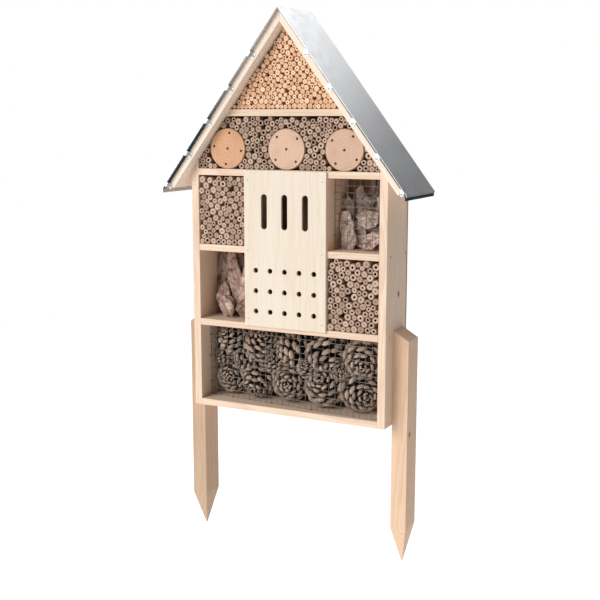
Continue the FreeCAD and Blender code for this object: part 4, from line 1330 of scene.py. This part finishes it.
# ------------------------------------------------------------------ pine cones
@dataclass
class PineCones:
    """Dry pine cones, wide open, each a spiral of woody scales round a core."""

    finish: ConeScaleWood = ConeScaleWood("pine_cone_scales", "#3A2820", "#84644E", "#C9B2A0")
    swell: float = 1.2
    scales: int = 66

    def scale_mesh(self) -> bpy.types.Mesh:
        """Make one scale along X: a thin stalk that widens to a swollen, blunt end."""
        sections = ((0.0, 0.10, 0.06, 0.0), (0.45, 0.22, 0.08, 0.02), (0.74, 0.31, 0.15, 0.05),
                    (0.90, 0.33, 0.28, 0.08), (1.0, 0.23, 0.23, 0.10), (1.06, 0.07, 0.08, 0.10))
        shape = bmesh.new()
        along = shape.verts.layers.float.new("along")
        rings = []
        for reach, half, thick, lift in sections:
            outline = ((-half, 0), (-half * 0.5, thick * 0.42), (half * 0.5, thick * 0.42), (half, 0),
                       (half * 0.5, -thick * 0.58), (-half * 0.5, -thick * 0.58))
            ring = [shape.verts.new((reach, y, lift + z)) for y, z in outline]
            for corner in ring:
                corner[along] = reach
            rings.append(ring)
        for inner, outer in zip(rings, rings[1:]):
            for step in range(6):
                after = (step + 1) % 6
                shape.faces.new((inner[step], inner[after], outer[after], outer[step]))
        shape.faces.new(rings[0])
        shape.faces.new(rings[-1])
        bmesh.ops.recalc_face_normals(shape, faces=shape.faces)
        mesh = bpy.data.meshes.new("cone_scale")
        shape.to_mesh(mesh)
        shape.free()
        return mesh

    def tree(self) -> bpy.types.NodeTree:
        """Build the tree that sets scales on a golden-angle spiral from base to tip."""
        tree, add, given = geometry_tree("pine_cone", {
            "Scale": ("Object", None), "Core": ("Object", None), "Count": ("Int", 88),
            "Radius": ("Float", 0.03), "Place": ("Vector", None), "Lean": ("Vector", None),
            "Seed": ("Int", 1), "Finish": ("Material", None)})
        line = add("GeometryNodeMeshLine", {"Count": given["Count"], "Offset": (0.0, 0.0, 0.0)},
            mode="OFFSET")[0]
        index = add("GeometryNodeInputIndex")[0]
        share = add(MATH, {0: index, 1: given["Count"]}, operation="DIVIDE")[0]
        around = add(MATH, {0: index, 1: GOLDEN_ANGLE}, operation="MULTIPLY")[0]
        height, stalk, length, rise = (add("ShaderNodeFloatCurve", {"Value": share},
            curve=points)[0] for points in (
            ((0.0, 0.08), (0.35, 0.30), (0.75, 0.66), (1.0, 0.90)),
            ((0.0, 0.16), (0.3, 0.24), (0.7, 0.17), (1.0, 0.03)),
            ((0.0, 0.52), (0.25, 0.80), (0.55, 0.78), (0.82, 0.52), (1.0, 0.26)),
            ((0.0, 0.02), (0.3, 0.22), (0.6, 0.42), (0.85, 0.68), (1.0, 0.95))))
        up = add(MATH, {0: height, 1: 1.7, 2: -0.85}, operation="MULTIPLY_ADD")[0]
        cosine = add(MATH, {0: around}, operation="COSINE")[0]
        sine = add(MATH, {0: around}, operation="SINE")[0]
        x = add(MATH, {0: cosine, 1: stalk}, operation="MULTIPLY")[0]
        y = add(MATH, {0: sine, 1: stalk}, operation="MULTIPLY")[0]
        seat_point = add(COMBINE, {0: x, 1: y, 2: up})[0]
        spiral = add(SET_POSITION, {"Geometry": line, "Position": seat_point})[0]
        jitter = add("FunctionNodeRandomValue", {
            0: (-0.14, -0.12, -0.10), 1: (0.14, 0.12, 0.10), "Seed": given["Seed"]},
            data_type="FLOAT_VECTOR")[0]
        tilt = add(MATH, {0: rise, 1: -1.55, 2: 0.12}, operation="MULTIPLY_ADD")[0]
        turn = add(COMBINE, {1: tilt, 2: around})[0]
        turn = add(VECTOR_MATH, {0: turn, 1: jitter}, operation="ADD")[0]
        tone = add("FunctionNodeRandomValue", {2: 0.0, 3: 1.0, "Seed": given["Seed"]}, data_type="FLOAT")[1]
        spiral = add(STORE, {"Geometry": spiral, "Name": "shade", "Value": tone})[0]
        one = add("GeometryNodeObjectInfo", {"Object": given["Scale"]})["Geometry"]
        many = add(INSTANCE, {"Points": spiral, "Instance": one, "Rotation": turn, "Scale": length})[0]
        core = add("GeometryNodeObjectInfo", {"Object": given["Core"]})["Geometry"]
        joined = add(JOIN, {0: [many, core]})[0]
        size = add(COMBINE, {k: given["Radius"] for k in range(3)})[0]
        placed = add("GeometryNodeTransform", {
            "Geometry": joined, "Translation": given["Place"], "Rotation": given["Lean"], "Scale": size})[0]
        close_tree(add, placed, given["Finish"])
        return tree

    def build(self) -> None:
        """Grow every cone in its place, inside the walls of the bottom chamber."""
        tree = self.tree()
        finish = self.finish.made()
        one = new_object("cone_scale", self.scale_mesh())
        core = new_object("cone_core", lathe("cone_core", [
            (0, -0.86), (0.14, -0.80), (0.20, -0.45), (0.18, 0.1), (0.08, 0.6), (0, 0.72)], 10))
        floor_top, shelf_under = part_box("floor_board")[1].z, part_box("shelf_lower")[0].z
        left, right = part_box("side_wall_left")[1].x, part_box("side_wall_right")[0].x
        chance = random.Random(11)
        nodes = sorted(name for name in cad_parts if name.startswith("pine_cone"))
        for number, node in enumerate(nodes):
            low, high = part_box(node)
            radius = sum(high - low) / 6 * self.swell
            place = (low + high) / 2
            # The tips point at the viewer, with a lean of their own.
            lean = (math.radians(90 + chance.uniform(-50, 45)), 0.0, math.radians(chance.uniform(-60, 60)))
            base = points_mesh(node + "_base", [(0, 0, 0)], {})
            piece = grown(node + "_finished", base, tree, {
                "Scale": one, "Core": core, "Count": self.scales, "Radius": radius, "Place": place,
                "Lean": lean, "Seed": 40 + number, "Finish": finish}, 45.0)
            self.keep_inside(piece.data, (left, -1.0, floor_top), (right, high.y + 4 * MM, shelf_under))
            seat(piece, "pine_cone", node)
        for maker in (one, core):
            bpy.data.objects.remove(maker)

    def keep_inside(self, mesh: bpy.types.Mesh, low: Sequence[float], high: Sequence[float]) -> None:
        """Shift a cone so that no scale passes the chamber's walls.

        Args:
            mesh: The cone's mesh.
            low: The chamber's lowest corner.
            high: The chamber's highest corner.
        """
        points = np.array([vertex.co for vertex in mesh.vertices])
        least, most = points.min(0), points.max(0)
        gap = 0.4 * MM
        shift = [max(0.0, low[k] + gap - least[k]) - max(0.0, most[k] + gap - high[k]) for k in range(3)]
        mesh.transform(Matrix.Translation(shift))


# ------------------------------------------------------------------ whole
def main() -> None:
    """Build and dress the insect hotel, piece by piece."""
    logging.basicConfig(level=logging.INFO, format="%(name)s: %(message)s")
    Studio().build()
    Timberwork().dress()
    RoofCover().dress()
    Fixings().build()
    bundles = [
        StemBundle("canes_upper_left", "bamboo", BAMBOO, 21, plugged=0.8),
        StemBundle("canes_lower_right", "bamboo", BAMBOO, 22, plugged=0.4, light_share=0.14),
        StemBundle("canes_log_row", "bamboo", BAMBOO, 23, plugged=0.35, sides=12),
        StemBundle("reeds_apex", "reed", REED, 24, plugged=0.82, sides=12, painted_shade_to_edges=0.5),
    ]
    stem_tree = bundles[0].tree()
    finishes = {finish.name: finish.made() for finish in (BAMBOO, REED)}
    for bundle in bundles:
        bundle.build(stem_tree, finishes[bundle.finish.name])
    NestingLogs().dress()
    meshes = [WireMesh("mesh_bark", seed=5), WireMesh("mesh_cones", askew=True, seed=8)]
    wire_finish = BrightMetal("galvanised_wire", "#86847F", 0.5).made()
    wire_tree = meshes[0].tree()
    for mesh in meshes:
        mesh.build(wire_tree, wire_finish)
    BarkPile("bark_left", PineBark("pine_bark_left", "#BFA293", "#DCC6BA", "#6A4C3E"), 2).build()
    BarkPile("bark_right", PineBark("pine_bark_right", "#F2D8C8", "#FFF6EC", "#7A5A4A"), 6).build()
    PineCones().build()


if __name__ == "__main__":
    main()
